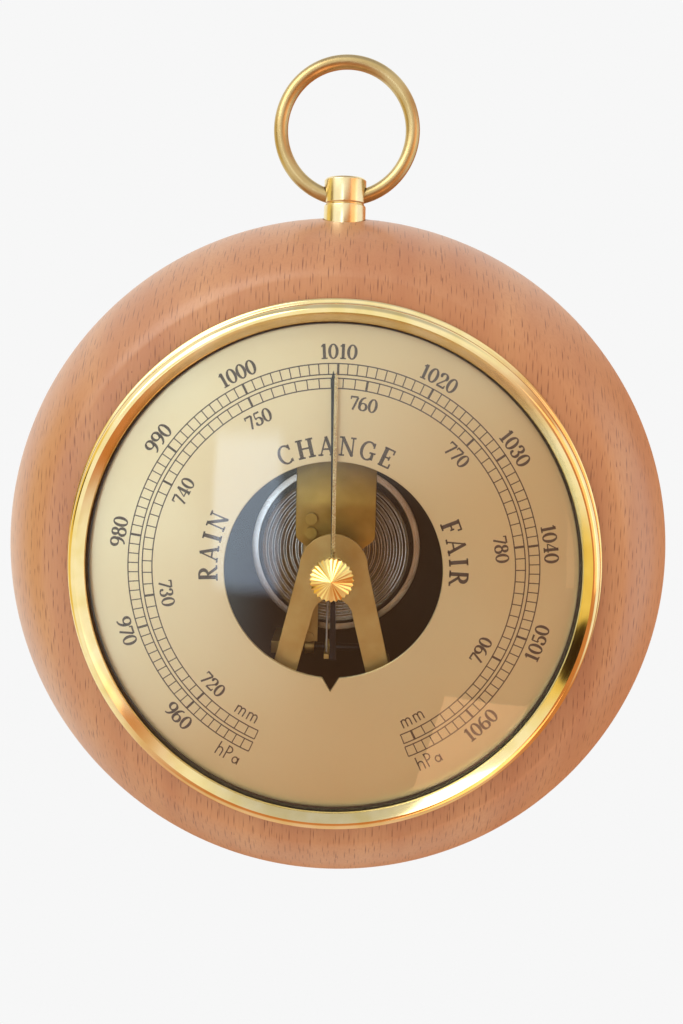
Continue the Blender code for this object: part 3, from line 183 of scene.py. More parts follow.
def place(piece, body, material, slot, *nodes):
    """Give a piece its material and its body, and hide the CAD nodes it stands for."""
    piece.data.materials.clear()
    piece.data.materials.append(material)
    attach(piece, body)
    if nodes:
        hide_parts(*nodes)
    print(f"{piece.name}: {len(piece.data.polygons)} faces on {body}")
    return piece


def cut_with(piece, cutter):
    """Take a cutter's shape out of a piece, keep the result as plain mesh, and drop the cutter."""
    modifier = piece.modifiers.new("cut", "BOOLEAN")
    modifier.operation, modifier.solver, modifier.object = "DIFFERENCE", "EXACT", cutter
    bpy.context.view_layer.update()
    seen = piece.evaluated_get(bpy.context.evaluated_depsgraph_get())
    result = bpy.data.meshes.new_from_object(seen)
    piece.modifiers.clear()
    piece.data = result
    result.set_sharp_from_angle(angle=np.radians(35.0))
    bpy.data.objects.remove(cutter)
    return piece


def refined(node, bevel, segments=2):
    """A copy of a CAD node with its triangles merged, its flats joined and its edges bevelled."""
    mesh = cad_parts[node].data
    points = np.zeros(len(mesh.vertices) * 3)
    mesh.vertices.foreach_get("co", points)
    corners = np.zeros(len(mesh.loops), int)
    mesh.loops.foreach_get("vertex_index", corners)
    points = points.reshape(-1, 3) / MM
    points[:, 1] *= -1
    made = mesh_piece(f"{node}_fine", points, corners.reshape(-1, 3).tolist(), join_flats=True)
    modifier = made.modifiers.new("edges", "BEVEL")
    modifier.width, modifier.segments = bevel * MM, segments
    modifier.limit_method, modifier.angle_limit = "ANGLE", np.radians(32.0)
    modifier.harden_normals = True
    return made


# %% [markdown]
# ## Materials
# A finish is a colour, a gloss, and a pattern at its real size. Colours are written as sRGB hex,
# which one function turns into the linear values that the shader adds up. Nodes are added by one
# function too, which sets a property or an input, or links an input to another node's output.


# %% Colours and nodes
def linear(code):
    """An sRGB hex colour as linear RGBA: c/12.92 below 0.04045, else ((c+0.055)/1.055)^2.4."""
    channels = np.array([int(code[i:i + 2], 16) for i in (1, 3, 5)]) / 255.0
    straight, curved = channels / 12.92, ((channels + 0.055) / 1.055) ** 2.4
    return (*np.where(channels <= 0.04045, straight, curved).tolist(), 1.0)


def add_node(tree, kind, **given):
    """Add a node. Each name is a property, or an input to set or to link; _0 is an input's place."""
    made = tree.nodes.new("ShaderNode" + kind)
    for name, value in given.items():
        if name in made.bl_rna.properties:
            setattr(made, name, value)
            continue
        by_place = name[1:].isdigit()
        socket = made.inputs[int(name[1:]) if by_place else name.replace("_", " ")]
        if isinstance(value, bpy.types.NodeSocket):
            tree.links.new(value, socket)
        else:
            socket.default_value = value
    return made


def start_material(name, metallic=0.0, roughness=0.5):
    """A new material: it, its tree, its Principled shader, and where the surface is, in metres."""
    material = bpy.data.materials.new(name)
    material.use_nodes = True
    tree = material.node_tree
    shader = tree.nodes["Principled BSDF"]
    shader.inputs["Metallic"].default_value = metallic
    shader.inputs["Roughness"].default_value = roughness
    return material, tree, shader, add_node(tree, "TexCoord").outputs["Object"]


# %% [markdown]
# ## Beech under satin lacquer
# Beech is a pinkish tan with a straight, quiet grain, and it is known by its rays: short dark
# dashes, 2 to 5 mm long and up to half a millimetre wide, which fade towards their ends, all along
# the grain. Each dash is one cell of a Voronoi pattern that is stretched along the grain, drawn
# round the cell's own point. A stretched noise gives the slow bands between, and a thin coat gives
# the lacquer's soft shine.


# %% Beech
RAY_CELL = (1.25, 7.0, 4.6)          # mm across, through and along the grain: one dash each
RAY_HALF_WIDTH, RAY_HALF_LENGTH = 0.21, 2.2
BAND_SIZE, FIBRE_SIZE = (11.0, 30.0, 160.0), (0.5, 0.5, 14.0)      # mm, the same three ways


def beech():
    """Satin-lacquered beech: tan bands, dark ray dashes and a faint open grain, all along Z."""
    material, tree, shader, where = start_material("beech_satin_lacquer", roughness=0.42)
    cells = add_node(tree, "Mapping", Vector=where, Scale=[1 / (side * MM) for side in RAY_CELL])
    voronoi = add_node(tree, "TexVoronoi", Vector=cells.outputs[0], Scale=1.0, Randomness=0.9)
    apart = add_node(tree, "VectorMath", operation="SUBTRACT", _0=cells.outputs[0],
                     _1=voronoi.outputs["Position"])
    shape = (RAY_CELL[0] / RAY_HALF_WIDTH, 0.0, RAY_CELL[2] / RAY_HALF_LENGTH)
    scaled = add_node(tree, "VectorMath", operation="MULTIPLY", _0=apart.outputs[0], _1=shape)
    reach = add_node(tree, "VectorMath", operation="LENGTH", _0=scaled.outputs[0])
    cell = add_node(tree, "SeparateColor", Color=voronoi.outputs["Color"])
    size = add_node(tree, "MapRange", Value=cell.outputs[0], To_Min=0.5, To_Max=1.2)
    ray = add_node(tree, "MapRange", Value=reach.outputs["Value"], From_Min=size.outputs[0],
                   From_Max=0.0, To_Min=0.0, To_Max=1.0, interpolation_type="SMOOTHSTEP")
    strength = add_node(tree, "MapRange", Value=cell.outputs[1], To_Min=0.5, To_Max=1.0)
    ray_mask = add_node(tree, "Math", operation="MULTIPLY", _0=ray.outputs[0], _1=strength.outputs[0])

    slow = add_node(tree, "Mapping", Vector=where, Scale=[1 / (side * MM) for side in BAND_SIZE])
    bands = add_node(tree, "TexNoise", Vector=slow.outputs[0], Scale=1.0, Detail=3.0)
    fine = add_node(tree, "Mapping", Vector=where, Scale=[1 / (side * MM) for side in FIBRE_SIZE])
    fibres = add_node(tree, "TexNoise", Vector=fine.outputs[0], Scale=1.0, Detail=2.0)
    band_share = add_node(tree, "MapRange", Value=bands.outputs[0], From_Min=0.3, From_Max=0.7)
    tan = add_node(tree, "Mix", data_type="RGBA", _0=band_share.outputs[0],
                   _6=linear("#C28C60"), _7=linear("#B37850"))
    fibre_share = add_node(tree, "MapRange", Value=fibres.outputs[0], From_Min=0.45, From_Max=0.75,
                           To_Max=0.35)
    fibred = add_node(tree, "Mix", data_type="RGBA", _0=fibre_share.outputs[0],
                      _6=tan.outputs[2], _7=linear("#A86E46"))
    colour = add_node(tree, "Mix", data_type="RGBA", _0=ray_mask.outputs[0],
                      _6=fibred.outputs[2], _7=linear("#75442A"))
    gloss = add_node(tree, "MapRange", Value=fibres.outputs[0], To_Min=0.38, To_Max=0.50)
    hollow = add_node(tree, "Math", operation="MULTIPLY_ADD", _0=ray_mask.outputs[0], _1=-0.6,
                      _2=fibres.outputs[0])
    bump = add_node(tree, "Bump", Height=hollow.outputs[0], Strength=0.5, Distance=0.03 * MM)
    tree.links.new(colour.outputs[2], shader.inputs["Base Color"])
    tree.links.new(gloss.outputs[0], shader.inputs["Roughness"])
    tree.links.new(bump.outputs[0], shader.inputs["Normal"])
    shader.inputs["Coat Weight"].default_value = 0.5
    shader.inputs["Coat Roughness"].default_value = 0.3
    return material


BEECH = beech()
print("material:", BEECH.name)

# %% [markdown]
# ## Metals
# Every metal here is bare or thinly lacquered, so it shows its own colour in what it mirrors. What
# tells them apart is how they were worked: turned on a lathe (rings round the axis), tumbled or
# blasted (an even fine grain), rolled into strip, or pickled. The pattern drives the gloss and a
# bump a few micrometres deep. Marks finer than about 0.1 mm wouldn't show, so they are drawn at
# that size or a little over it.


# %% One recipe for the metals
def metal(name, pale, deep, gloss, grain, depth, patch=6.0, rings=False, metallic=1.0, coat=0.0):
    """A worked metal: two tones in patches, a gloss range, and a grain of that size and depth in mm.

    With rings the grain follows the distance from the dial's centre, as a lathe tool leaves it.
    """
    material, tree, shader, where = start_material(name, metallic, gloss[0])
    if rings:
        apart = add_node(tree, "SeparateXYZ", Vector=where)
        flat = add_node(tree, "CombineXYZ", X=apart.outputs[0], Y=apart.outputs[2])
        radius = add_node(tree, "VectorMath", operation="LENGTH", _0=flat.outputs[0])
        grain_at = add_node(tree, "CombineXYZ", X=radius.outputs["Value"]).outputs[0]
    else:
        grain_at = where
    grains = add_node(tree, "TexNoise", Vector=grain_at, Scale=1 / (grain * MM), Detail=2.0)
    patches = add_node(tree, "TexNoise", Vector=where, Scale=1 / (patch * MM), Detail=2.0)
    share = add_node(tree, "MapRange", Value=patches.outputs[0], From_Min=0.3, From_Max=0.7)
    tone = add_node(tree, "Mix", data_type="RGBA", _0=share.outputs[0], _6=linear(pale), _7=linear(deep))
    shine = add_node(tree, "MapRange", Value=grains.outputs[0], From_Min=0.25, From_Max=0.75,
                     To_Min=gloss[0], To_Max=gloss[1])
    bump = add_node(tree, "Bump", Height=grains.outputs[0], Strength=1.0, Distance=depth * MM)
    tree.links.new(tone.outputs[2], shader.inputs["Base Color"])
    tree.links.new(shine.outputs[0], shader.inputs["Roughness"])
    tree.links.new(bump.outputs[0], shader.inputs["Normal"])
    shader.inputs["Coat Weight"].default_value = coat
    return material


# %% The barometer's metals
METALS = {
    # Spun and buffed: nearly a mirror, with the faintest rings.
    "bezel_brass": metal("brass_spun_and_buffed", "#F5E4B0", "#ECD692", (0.07, 0.13), 0.35, 0.0006,
                         rings=True),
    # Drawn wire, lacquered: a soft satin that keeps a long highlight.
    "ring_brass": metal("brass_drawn_wire", "#CAB584", "#BEA672", (0.31, 0.35), 1.2, 0.0002),
    # Turned bar: bright and a little paler than the bezel.
    "stud_brass": metal("brass_turned_bar", "#F4E6BE", "#EAD8A6", (0.20, 0.28), 0.4, 0.0006),
    # Milled and polished: its facets flash.
    "knob_brass": metal("brass_milled_and_polished", "#F4DC92", "#E9C46E", (0.08, 0.14), 0.3, 0.0005),
    # Tumbled plate: a matt gold without direction.
    "bridge_brass": metal("brass_tumbled_plate", "#CDB076", "#BE9A5E", (0.42, 0.54), 0.25, 0.004),
    # Stamped strip with its rolled skin: paler than the bridge, nearly silver at its edges.
    "hand_brass": metal("brass_stamped_hand", "#EADFB4", "#DCC994", (0.22, 0.30), 0.3, 0.001),
    # Tempered strip: a dark olive skin with a fine sparkle.
    "spring_bronze": metal("spring_bronze_tempered", "#BC9C52", "#A08440", (0.36, 0.50), 0.22, 0.010),
    # Pickled nickel silver: grey-white and softly bright.
    "nickel_silver": metal("nickel_silver_pressed", "#E2E0DA", "#CBC9C4", (0.16, 0.24), 0.5, 0.0008),
    # Zinc plating: a grey with a slight frost.
    "plated_steel": metal("steel_zinc_plated", "#9C9FA3", "#85888C", (0.28, 0.40), 0.4, 0.003),
    # Blued steel: almost black, with a cool sheen.
    "black_steel": metal("steel_blued", "#1C1E26", "#101116", (0.26, 0.36), 0.3, 0.001, metallic=0.7),
    # Pressed steel painted near black as painted shade: the space round the movement is dark because it lies
    # in shade.
    "painted_shade_steel": metal("steel_painted_shade_black", "#1E1714", "#130E0C", (0.30, 0.42), 0.5, 0.0005,
                          metallic=0.2),
}
print("metals:", ", ".join(sorted(METALS)))

# %% [markdown]
# ## Champagne-gold dial
# The dial is a thin sheet anodised or lacquered to a pale champagne gold with a satin surface. It
# isn't a mirror: it gives back a wide, soft highlight. The grain is a fine even etch of about a
# tenth of a millimetre, drawn at 0.2 mm. Ink and rubber are dull and share one recipe, and glass
# has its own.


# %% Dial, ink, rubber and glass
def champagne_dial():
    """Satin anodised sheet: a fine etch in bump and gloss, and slow changes of tone."""
    material, tree, shader, where = start_material("aluminium_gold_anodised", 0.85, 0.33)
    etch = add_node(tree, "TexNoise", Vector=where, Scale=1 / (0.2 * MM), Detail=1.0)
    slow = add_node(tree, "TexNoise", Vector=where, Scale=1 / (35.0 * MM), Detail=1.0)
    share = add_node(tree, "MapRange", Value=slow.outputs[0], From_Min=0.35, From_Max=0.65)
    tone = add_node(tree, "Mix", data_type="RGBA", _0=share.outputs[0],
                    _6=linear("#EBDCB4"), _7=linear("#E6D3A8"))
    shine = add_node(tree, "MapRange", Value=etch.outputs[0], From_Min=0.3, From_Max=0.7,
                     To_Min=0.30, To_Max=0.37)
    bump = add_node(tree, "Bump", Height=etch.outputs[0], Strength=1.0, Distance=0.003 * MM)
    tree.links.new(tone.outputs[2], shader.inputs["Base Color"])
    tree.links.new(shine.outputs[0], shader.inputs["Roughness"])
    tree.links.new(bump.outputs[0], shader.inputs["Normal"])
    return material


def mottled(name, dark, pale, roughness, size, detail):
    """A dull surface whose tone wanders between two colours, in patches of a size in mm."""
    material, tree, shader, where = start_material(name, roughness=roughness)
    patches = add_node(tree, "TexNoise", Vector=where, Scale=1 / (size * MM), Detail=detail)
    tone = add_node(tree, "Mix", data_type="RGBA", _0=patches.outputs[0], _6=linear(dark), _7=linear(pale))
    tree.links.new(tone.outputs[2], shader.inputs["Base Color"])
    return material


def pressed_glass():
    """Clear domed glass, very slightly uneven. Lamps shine through it instead of being refracted."""
    material, tree, shader, where = start_material("glass_pressed_dome", roughness=0.0)
    tree.nodes.remove(shader)
    swell = add_node(tree, "TexNoise", Vector=where, Scale=1 / (14.0 * MM), Detail=1.0)
    bump = add_node(tree, "Bump", Height=swell.outputs[0], Strength=1.0, Distance=0.02 * MM)
    glass = add_node(tree, "BsdfGlass", Color=linear("#FBFDFC"), Roughness=0.0, IOR=1.5,
                     Normal=bump.outputs[0])
    clear = add_node(tree, "BsdfTransparent", Color=linear("#F7FAF9"))
    rays = add_node(tree, "LightPath")
    both = add_node(tree, "MixShader", _0=rays.outputs["Is Shadow Ray"], _1=glass.outputs[0],
                    _2=clear.outputs[0])
    tree.links.new(both.outputs[0], tree.nodes["Material Output"].inputs["Surface"])
    return material


DIAL_GOLD, GLASS = champagne_dial(), pressed_glass()
# Warm brown-black, with the faint unevenness that the screen leaves.
INK = mottled("ink_screen_printed", "#3E302C", "#55433B", 0.55, 0.3, 1.0)
# Dull moulded rubber with a powdery bloom. Its dark brown is also painted shade, for the shadow line where
# the bezel meets the dial.
RUBBER = mottled("rubber_moulded_dark_as_shade", "#2B1D16", "#3B2A20", 0.7, 1.5, 3.0)
print("materials made:", len(bpy.data.materials))

# %% [markdown]
# ## Finishes for the solids that stay
# Small parts that are right as they are keep their CAD shape and take a finish by their object's
# material slots. The table goes from a node to its finish; pieces made below replace some of them.

# %% Dress the CAD nodes
# The movement can and the base plate take the near-black steel, which is painted shade for the space round
# the movement.
FINISH_OF = {
    "movement_can": "painted_shade_steel", "base_plate": "painted_shade_steel", "arbor_bush": "bezel_brass",
    "set_bush": "bezel_brass", "set_washer": "bezel_brass", "calibration_screw": "bezel_brass",
    "hand_arbor": "black_steel", "rocker_shaft": "black_steel", "capsule_back": "nickel_silver",
    "capsule_post": "nickel_silver", "link_rod": "bridge_brass", "lever_rivet_1": "spring_bronze",
    "lever_rivet_2": "spring_bronze", "hairspring": "spring_bronze", "set_shaft": "stud_brass",
    "pointer": "black_steel", "hanging_ring": "ring_brass", "hanger_stud": "stud_brass",
}
FINISH_BY_WORD = {"screw": "plated_steel", "bearing": "bridge_brass", "pillar": "bridge_brass",
                  "crank": "bridge_brass", "arm": "bridge_brass", "stud": "bridge_brass",
                  "chain": "plated_steel", "foot": "plated_steel"}
for name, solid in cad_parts.items():
    by_word = [finish for word, finish in FINISH_BY_WORD.items() if word in name]
    chosen = METALS[FINISH_OF.get(name, by_word[0] if by_word else "bezel_brass")]
    for held in solid.material_slots:
        held.link = "OBJECT"
        held.material = chosen
print("nodes dressed:", len(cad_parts))

# %% [markdown]
# ## The turned case
# The case is one block of beech turned on a lathe: a flat back, a small round at the rear edge,
# a narrow straight band, and a broad soft roundover down from the bezel. Its profile is a few curves,
# carried round the axis in fine steps. The hole for the hanger's stud and the holes in the back are
# cut out afterwards, because they aren't round about the same axis.

# %% Case
REAR_ROUND, EDGE_BAND, FRONT_MARGIN, FRONT_POWER = 8.0, 2.0, 4.7, 1.5
RECESS_RADIUS, RECESS_FLOOR = 58.8, 5.0
flat_front = radius_of("bezel") + FRONT_MARGIN
edge_front = REAR_ROUND + EDGE_BAND
rear_round = elliptic((CASE_RADIUS - REAR_ROUND, REAR_ROUND), (REAR_ROUND, REAR_ROUND), -90, 0, 14)
roundover = oval((flat_front, edge_front), (CASE_RADIUS - flat_front, CASE_DEPTH - edge_front),
                 FRONT_POWER, 40)
recess = [(RECESS_RADIUS, CASE_DEPTH), (RECESS_RADIUS, RECESS_FLOOR), (0.0, RECESS_FLOOR)]
recess_lip = eased([(flat_front, CASE_DEPTH)] + recess, 0.3, 2)[1:]
case_profile = np.vstack([[(0.0, 0.0)], rear_round, roundover, recess_lip])
case = turned("case_turned", case_profile, steps=256)


# %% Holes in the case
HOLE_GAP, PILOT_RADIUS, OVERCUT = 0.3, 1.7, 1.0


def drill_case(name, radius, low, screw):
    """Take a round hole out of the case in line with a screw, from a depth into the recess."""
    centre, high = sum(extent(screw)) / 2, RECESS_FLOOR + OVERCUT
    hole = [(0.0, low), (radius, low), (radius, high), (0.0, high)]
    cut_with(case, turned(name, hole, (centre[0], centre[2]), steps=48))


stud_low, stud_high = extent("hanger_stud")
STUD_DEPTH = (stud_low[1] + stud_high[1]) / 2
STUD_RADIUS, SHANK_RADIUS, STUD_SEAT = radius_of("hanger_stud"), 2.7, 82.2
shank_hole, head_hole = SHANK_RADIUS + HOLE_GAP, STUD_RADIUS + HOLE_GAP
stud_hole = [(0.0, stud_low[2] - HOLE_GAP), (shank_hole, stud_low[2] - HOLE_GAP),
             (shank_hole, STUD_SEAT - HOLE_GAP), (head_hole, STUD_SEAT - HOLE_GAP),
             (head_hole, CASE_RADIUS + OVERCUT), (0.0, CASE_RADIUS + OVERCUT)]
cut_with(case, turned("stud_hole", stud_hole, (0.0, STUD_DEPTH), "upright", 64))
drill_case("back_hole", radius_of("calibration_screw") + HOLE_GAP, -OVERCUT, "calibration_screw")
for number in (1, 2, 3):
    screw = f"base_screw_{number}"
    drill_case(f"pilot_{number}", PILOT_RADIUS, back_of(screw) - HOLE_GAP, screw)
place(case, "case", BEECH, "beech", "wood_case")

# %% [markdown]
# ## The bezel, its gasket and the glass
# The bezel is sheet brass spun over a former, so every corner is a small radius: a thin foot on the
# wood, a cove, a short wall, a shoulder, and a face that falls in towards the glass. The glass is a
# shallow dome, whose height drops with the square of the radius.

# %% Bezel
bezel_back, bezel_front = back_of("bezel"), front_of("bezel")
BEZEL_RADIUS = radius_of("bezel")
BEZEL_WALL, BEZEL_FACE, OPENING, SEAT = 61.7, 59.6, 57.7, 41.4
SKIRT, INNER, SKIRT_FRONT, SHOULDER_RISE, NOSE = 61.6, 60.1, 37.4, 2.0, 0.8
# The foot's edge and the cove over it, as radius and rise from the wood.
FOOT = [(BEZEL_RADIUS, 0.0), (BEZEL_RADIUS, 0.75), (62.85, 1.1), (62.1, 1.25), (BEZEL_WALL, 1.9)]
shoulder_start = bezel_front - SHOULDER_RISE
outside = [(SKIRT, bezel_back)] + [(radius, bezel_back + rise) for radius, rise in FOOT]
inside = [(BEZEL_FACE, bezel_front), (OPENING, SEAT + NOSE), (OPENING, SEAT), (INNER, SEAT),
          (INNER, SKIRT_FRONT), (SKIRT, SKIRT_FRONT)]
shoulder = elliptic((BEZEL_FACE, shoulder_start), (BEZEL_WALL - BEZEL_FACE, SHOULDER_RISE), 0, 90, 8)
section = np.vstack([eased(outside + [(BEZEL_WALL, shoulder_start)], 0.3), shoulder[1:],
                     eased(inside, 0.25)[1:]])
bezel = turned("bezel_spun", section, steps=256, closed=True)
place(bezel, "case", METALS["bezel_brass"], "bezel_brass", "bezel")

# %% Gasket and glass
low, high = extent("glass_gasket")
GASKET_INSIDE, GASKET_OUTSIDE = 57.3, high[0]
gasket_ring = [(GASKET_INSIDE, low[1]), (GASKET_OUTSIDE, low[1]), (GASKET_OUTSIDE, high[1]),
               (GASKET_INSIDE, high[1])]
# The gasket shows a thin rim inside the bezel's opening. It is real rubber, and its dark brown is painted
# shade for the line between bezel and dial.
gasket = turned("gasket_moulded", eased(gasket_ring, 0.15, 3, closed=True), steps=160, closed=True)
place(gasket, "case", RUBBER, "gasket_rubber", "glass_gasket")

GLASS_RISE, GLASS_THICK, HOLE = 6.0, 1.6, 2.2
glass_edge = back_of("glass")
dome_radii = np.concatenate([np.linspace(HOLE, OPENING, 28), [radius_of("glass")]])
dome = GLASS_RISE * (1.0 - np.minimum(1.0, dome_radii / OPENING) ** 2)
inside = np.stack([dome_radii, glass_edge + dome], axis=1)
outside = np.stack([dome_radii, glass_edge + GLASS_THICK + dome], axis=1)[::-1]
glass = turned("glass_dome", np.vstack([inside, outside]), steps=160, closed=True)
place(glass, "case", GLASS, "glass", "glass")

# %% [markdown]
# ## The dial plate
# A ring whose inner edge is the window, with a small pointed notch at its foot. In polar form the
# notch is easy: along a direction at an angle from straight down, the slanted edge lies at
# tip / (cos + slope * sin), and the window's own radius is used wherever that is smaller.

# %% Dial plate
WINDOW, NOTCH_TIP, NOTCH_HALF, NOTCH_REACH = 25.7, 29.0, 2.0, 0.2
DIAL_STEPS, EDGE_CHAMFER = 720, 0.12
dial_back = back_of("dial")
around = np.linspace(0.0, 2 * np.pi, DIAL_STEPS, endpoint=False)[:, None]
from_down = np.abs(around - np.pi)
notch_slope = (NOTCH_TIP - np.sqrt(WINDOW ** 2 - NOTCH_HALF ** 2)) / NOTCH_HALF
slanted = NOTCH_TIP / (np.cos(from_down) + notch_slope * np.sin(from_down))
inner_edge = np.where(from_down < NOTCH_REACH, np.maximum(slanted, WINDOW), WINDOW)
across = np.array([(0.0, dial_back), (1.0, dial_back), (1.0, DIAL_FRONT), (0.0, DIAL_FRONT),
                   (0.0, DIAL_FRONT - EDGE_CHAMFER)])
nudge = np.array([0.0, 0.0, 0.0, EDGE_CHAMFER, 0.0])
spoke = inner_edge + across[:, 0] * (DIAL_RADIUS - inner_edge) + nudge
dial_points = np.stack([spoke * np.sin(around), np.broadcast_to(across[:, 1], spoke.shape),
                        spoke * np.cos(around)], axis=-1)
dial = mesh_piece("dial_plate", dial_points, grid_quads(DIAL_STEPS, len(across), ring=True, loop=True), 20.0)
place(dial, "case", DIAL_GOLD, "dial_brass", "dial")

# %% [markdown]
# ## The printing
# Two scales share the dial: millibars outside and millimetres of mercury inside. Print is modelled
# as thin closed strips that stand 0.03 mm proud, so that it exports as shape and not as a picture.
# A line is a row of points with a half width, moved to both sides, and a letter is a few such lines.


# %% Strips on the dial
PRINT_LOW, PRINT_HIGH = DIAL_FRONT - 0.02, DIAL_FRONT + 0.03


def ribbon(line, half, closed=False):
    """A closed strip round a line (x, height): each point moves half a width to either side.

    The two edges are repeated at the print's top, which gives four rows of points.
    """
    line = np.asarray(line, float)
    half = np.broadcast_to(np.asarray(half, float), len(line))
    run = np.roll(line, -1, axis=0) - np.roll(line, 1, axis=0) if closed else np.gradient(line, axis=0)
    run = run / np.linalg.norm(run, axis=1, keepdims=True)
    side = np.stack([-run[:, 1], run[:, 0]], axis=1) * half[:, None]
    edges = [(line + side, PRINT_LOW), (line - side, PRINT_LOW), (line - side, PRINT_HIGH),
             (line + side, PRINT_HIGH)]
    rows = [np.stack([edge[:, 0], np.full(len(line), depth), edge[:, 1]], axis=1) for edge, depth in edges]
    points = np.stack(rows, axis=1).reshape(-1, 3)
    faces = grid_quads(len(line), 4, ring=closed, loop=True).tolist()
    last = 4 * len(line)
    return points, faces if closed else faces + [[0, 1, 2, 3], [last - 1, last - 2, last - 3, last - 4]]


def printed(name, strips):
    """Join strips into one printed piece on the dial."""
    points, faces, count = [], [], 0
    for strip_points, strip_faces in strips:
        points.append(strip_points)
        faces.extend((np.array(face) + count).tolist() for face in strip_faces)
        count += len(strip_points)
    piece = mesh_piece(name, np.vstack(points), faces)
    return place(piece, "case", INK, "dial_brass")


def on_dial(angle, radius):
    """Point (x, height) at a clock angle in degrees and a radius: radius * (sin, cos)."""
    turned_by = np.radians(angle)
    return np.stack([radius * np.sin(turned_by), radius * np.cos(turned_by)], axis=-1)


# %% The two scales
SCALE_END = 156.6
HPA_STEP, HPA_TOP, HPA_BAND = 2.7, 1010, (45.77, 48.24)
MERCURY_STEP, MERCURY_BASE, MERCURY_ANGLE, MERCURY_BAND = 3.6, 760, 8.8, (42.59, 44.89)
LINE, FINE_LINE, TEN_LINE = 0.14, 0.125, 0.27      # half widths
scale_arc = np.linspace(-SCALE_END, SCALE_END, 260)
strips = [ribbon(on_dial(scale_arc, radius), LINE) for radius in HPA_BAND + MERCURY_BAND]
hpa = np.arange(952, 1069)
mercury = np.arange(715, 802)
marks = [((hpa - HPA_TOP) * HPA_STEP, hpa, HPA_BAND),
         (MERCURY_ANGLE + (mercury - MERCURY_BASE) * MERCURY_STEP, mercury, MERCURY_BAND)]
for angles, values, band in marks:
    for angle, value in zip(angles, values):
        half = TEN_LINE if value % 10 == 0 else FINE_LINE
        strips.append(ribbon([on_dial(angle, band[0]), on_dial(angle, band[1])], half))
strips.append(ribbon([on_dial(-SCALE_END, MERCURY_BAND[0]), on_dial(-SCALE_END, MERCURY_BAND[1])], FINE_LINE))
printed("scale_print", strips)
print("marks on the scales:", len(hpa) + len(mercury))

# %% [markdown]
# ## Figures and words
# The figures are an old-style roman: thick upright strokes, hairlines across, and slab feet. Each
# is drawn in a box of unit height from straight lines, arcs of ellipses that swell where they run
# upright, and slabs. The figures at the foot of the dial turn their tops inwards to read upright.


# %% Drawing a character
THICK, THIN = 0.10, 0.045             # half widths for a unit height


def bar(x0, y0, x1, y1, half=THICK):
    """A straight stroke."""
    return np.array([(x0, y0), (x1, y1)]), np.array([half, half]), False


def bow(x, y, across, up, start, end, thick=THICK, thin=THIN):
    """An arc of an ellipse that is thick where it runs upright: half = thin + (thick-thin)|cos|^1.5."""
    whole = abs(end - start) >= 360
    steps = max(6, int(abs(end - start) / 15))
    angle = np.radians(np.linspace(start, end, steps + 1))
    angle = angle[:-1] if whole else angle
    half = thin + (thick - thin) * np.abs(np.cos(angle)) ** 1.5
    return np.stack([x + across * np.cos(angle), y + up * np.sin(angle)], axis=1), half, whole


def slab(x, y, reach=0.17):
    """A flat foot or head on an upright stroke."""
    shift = THIN if y < 0.5 else -THIN
    return bar(x - reach, y + shift, x + reach, y + shift, THIN)


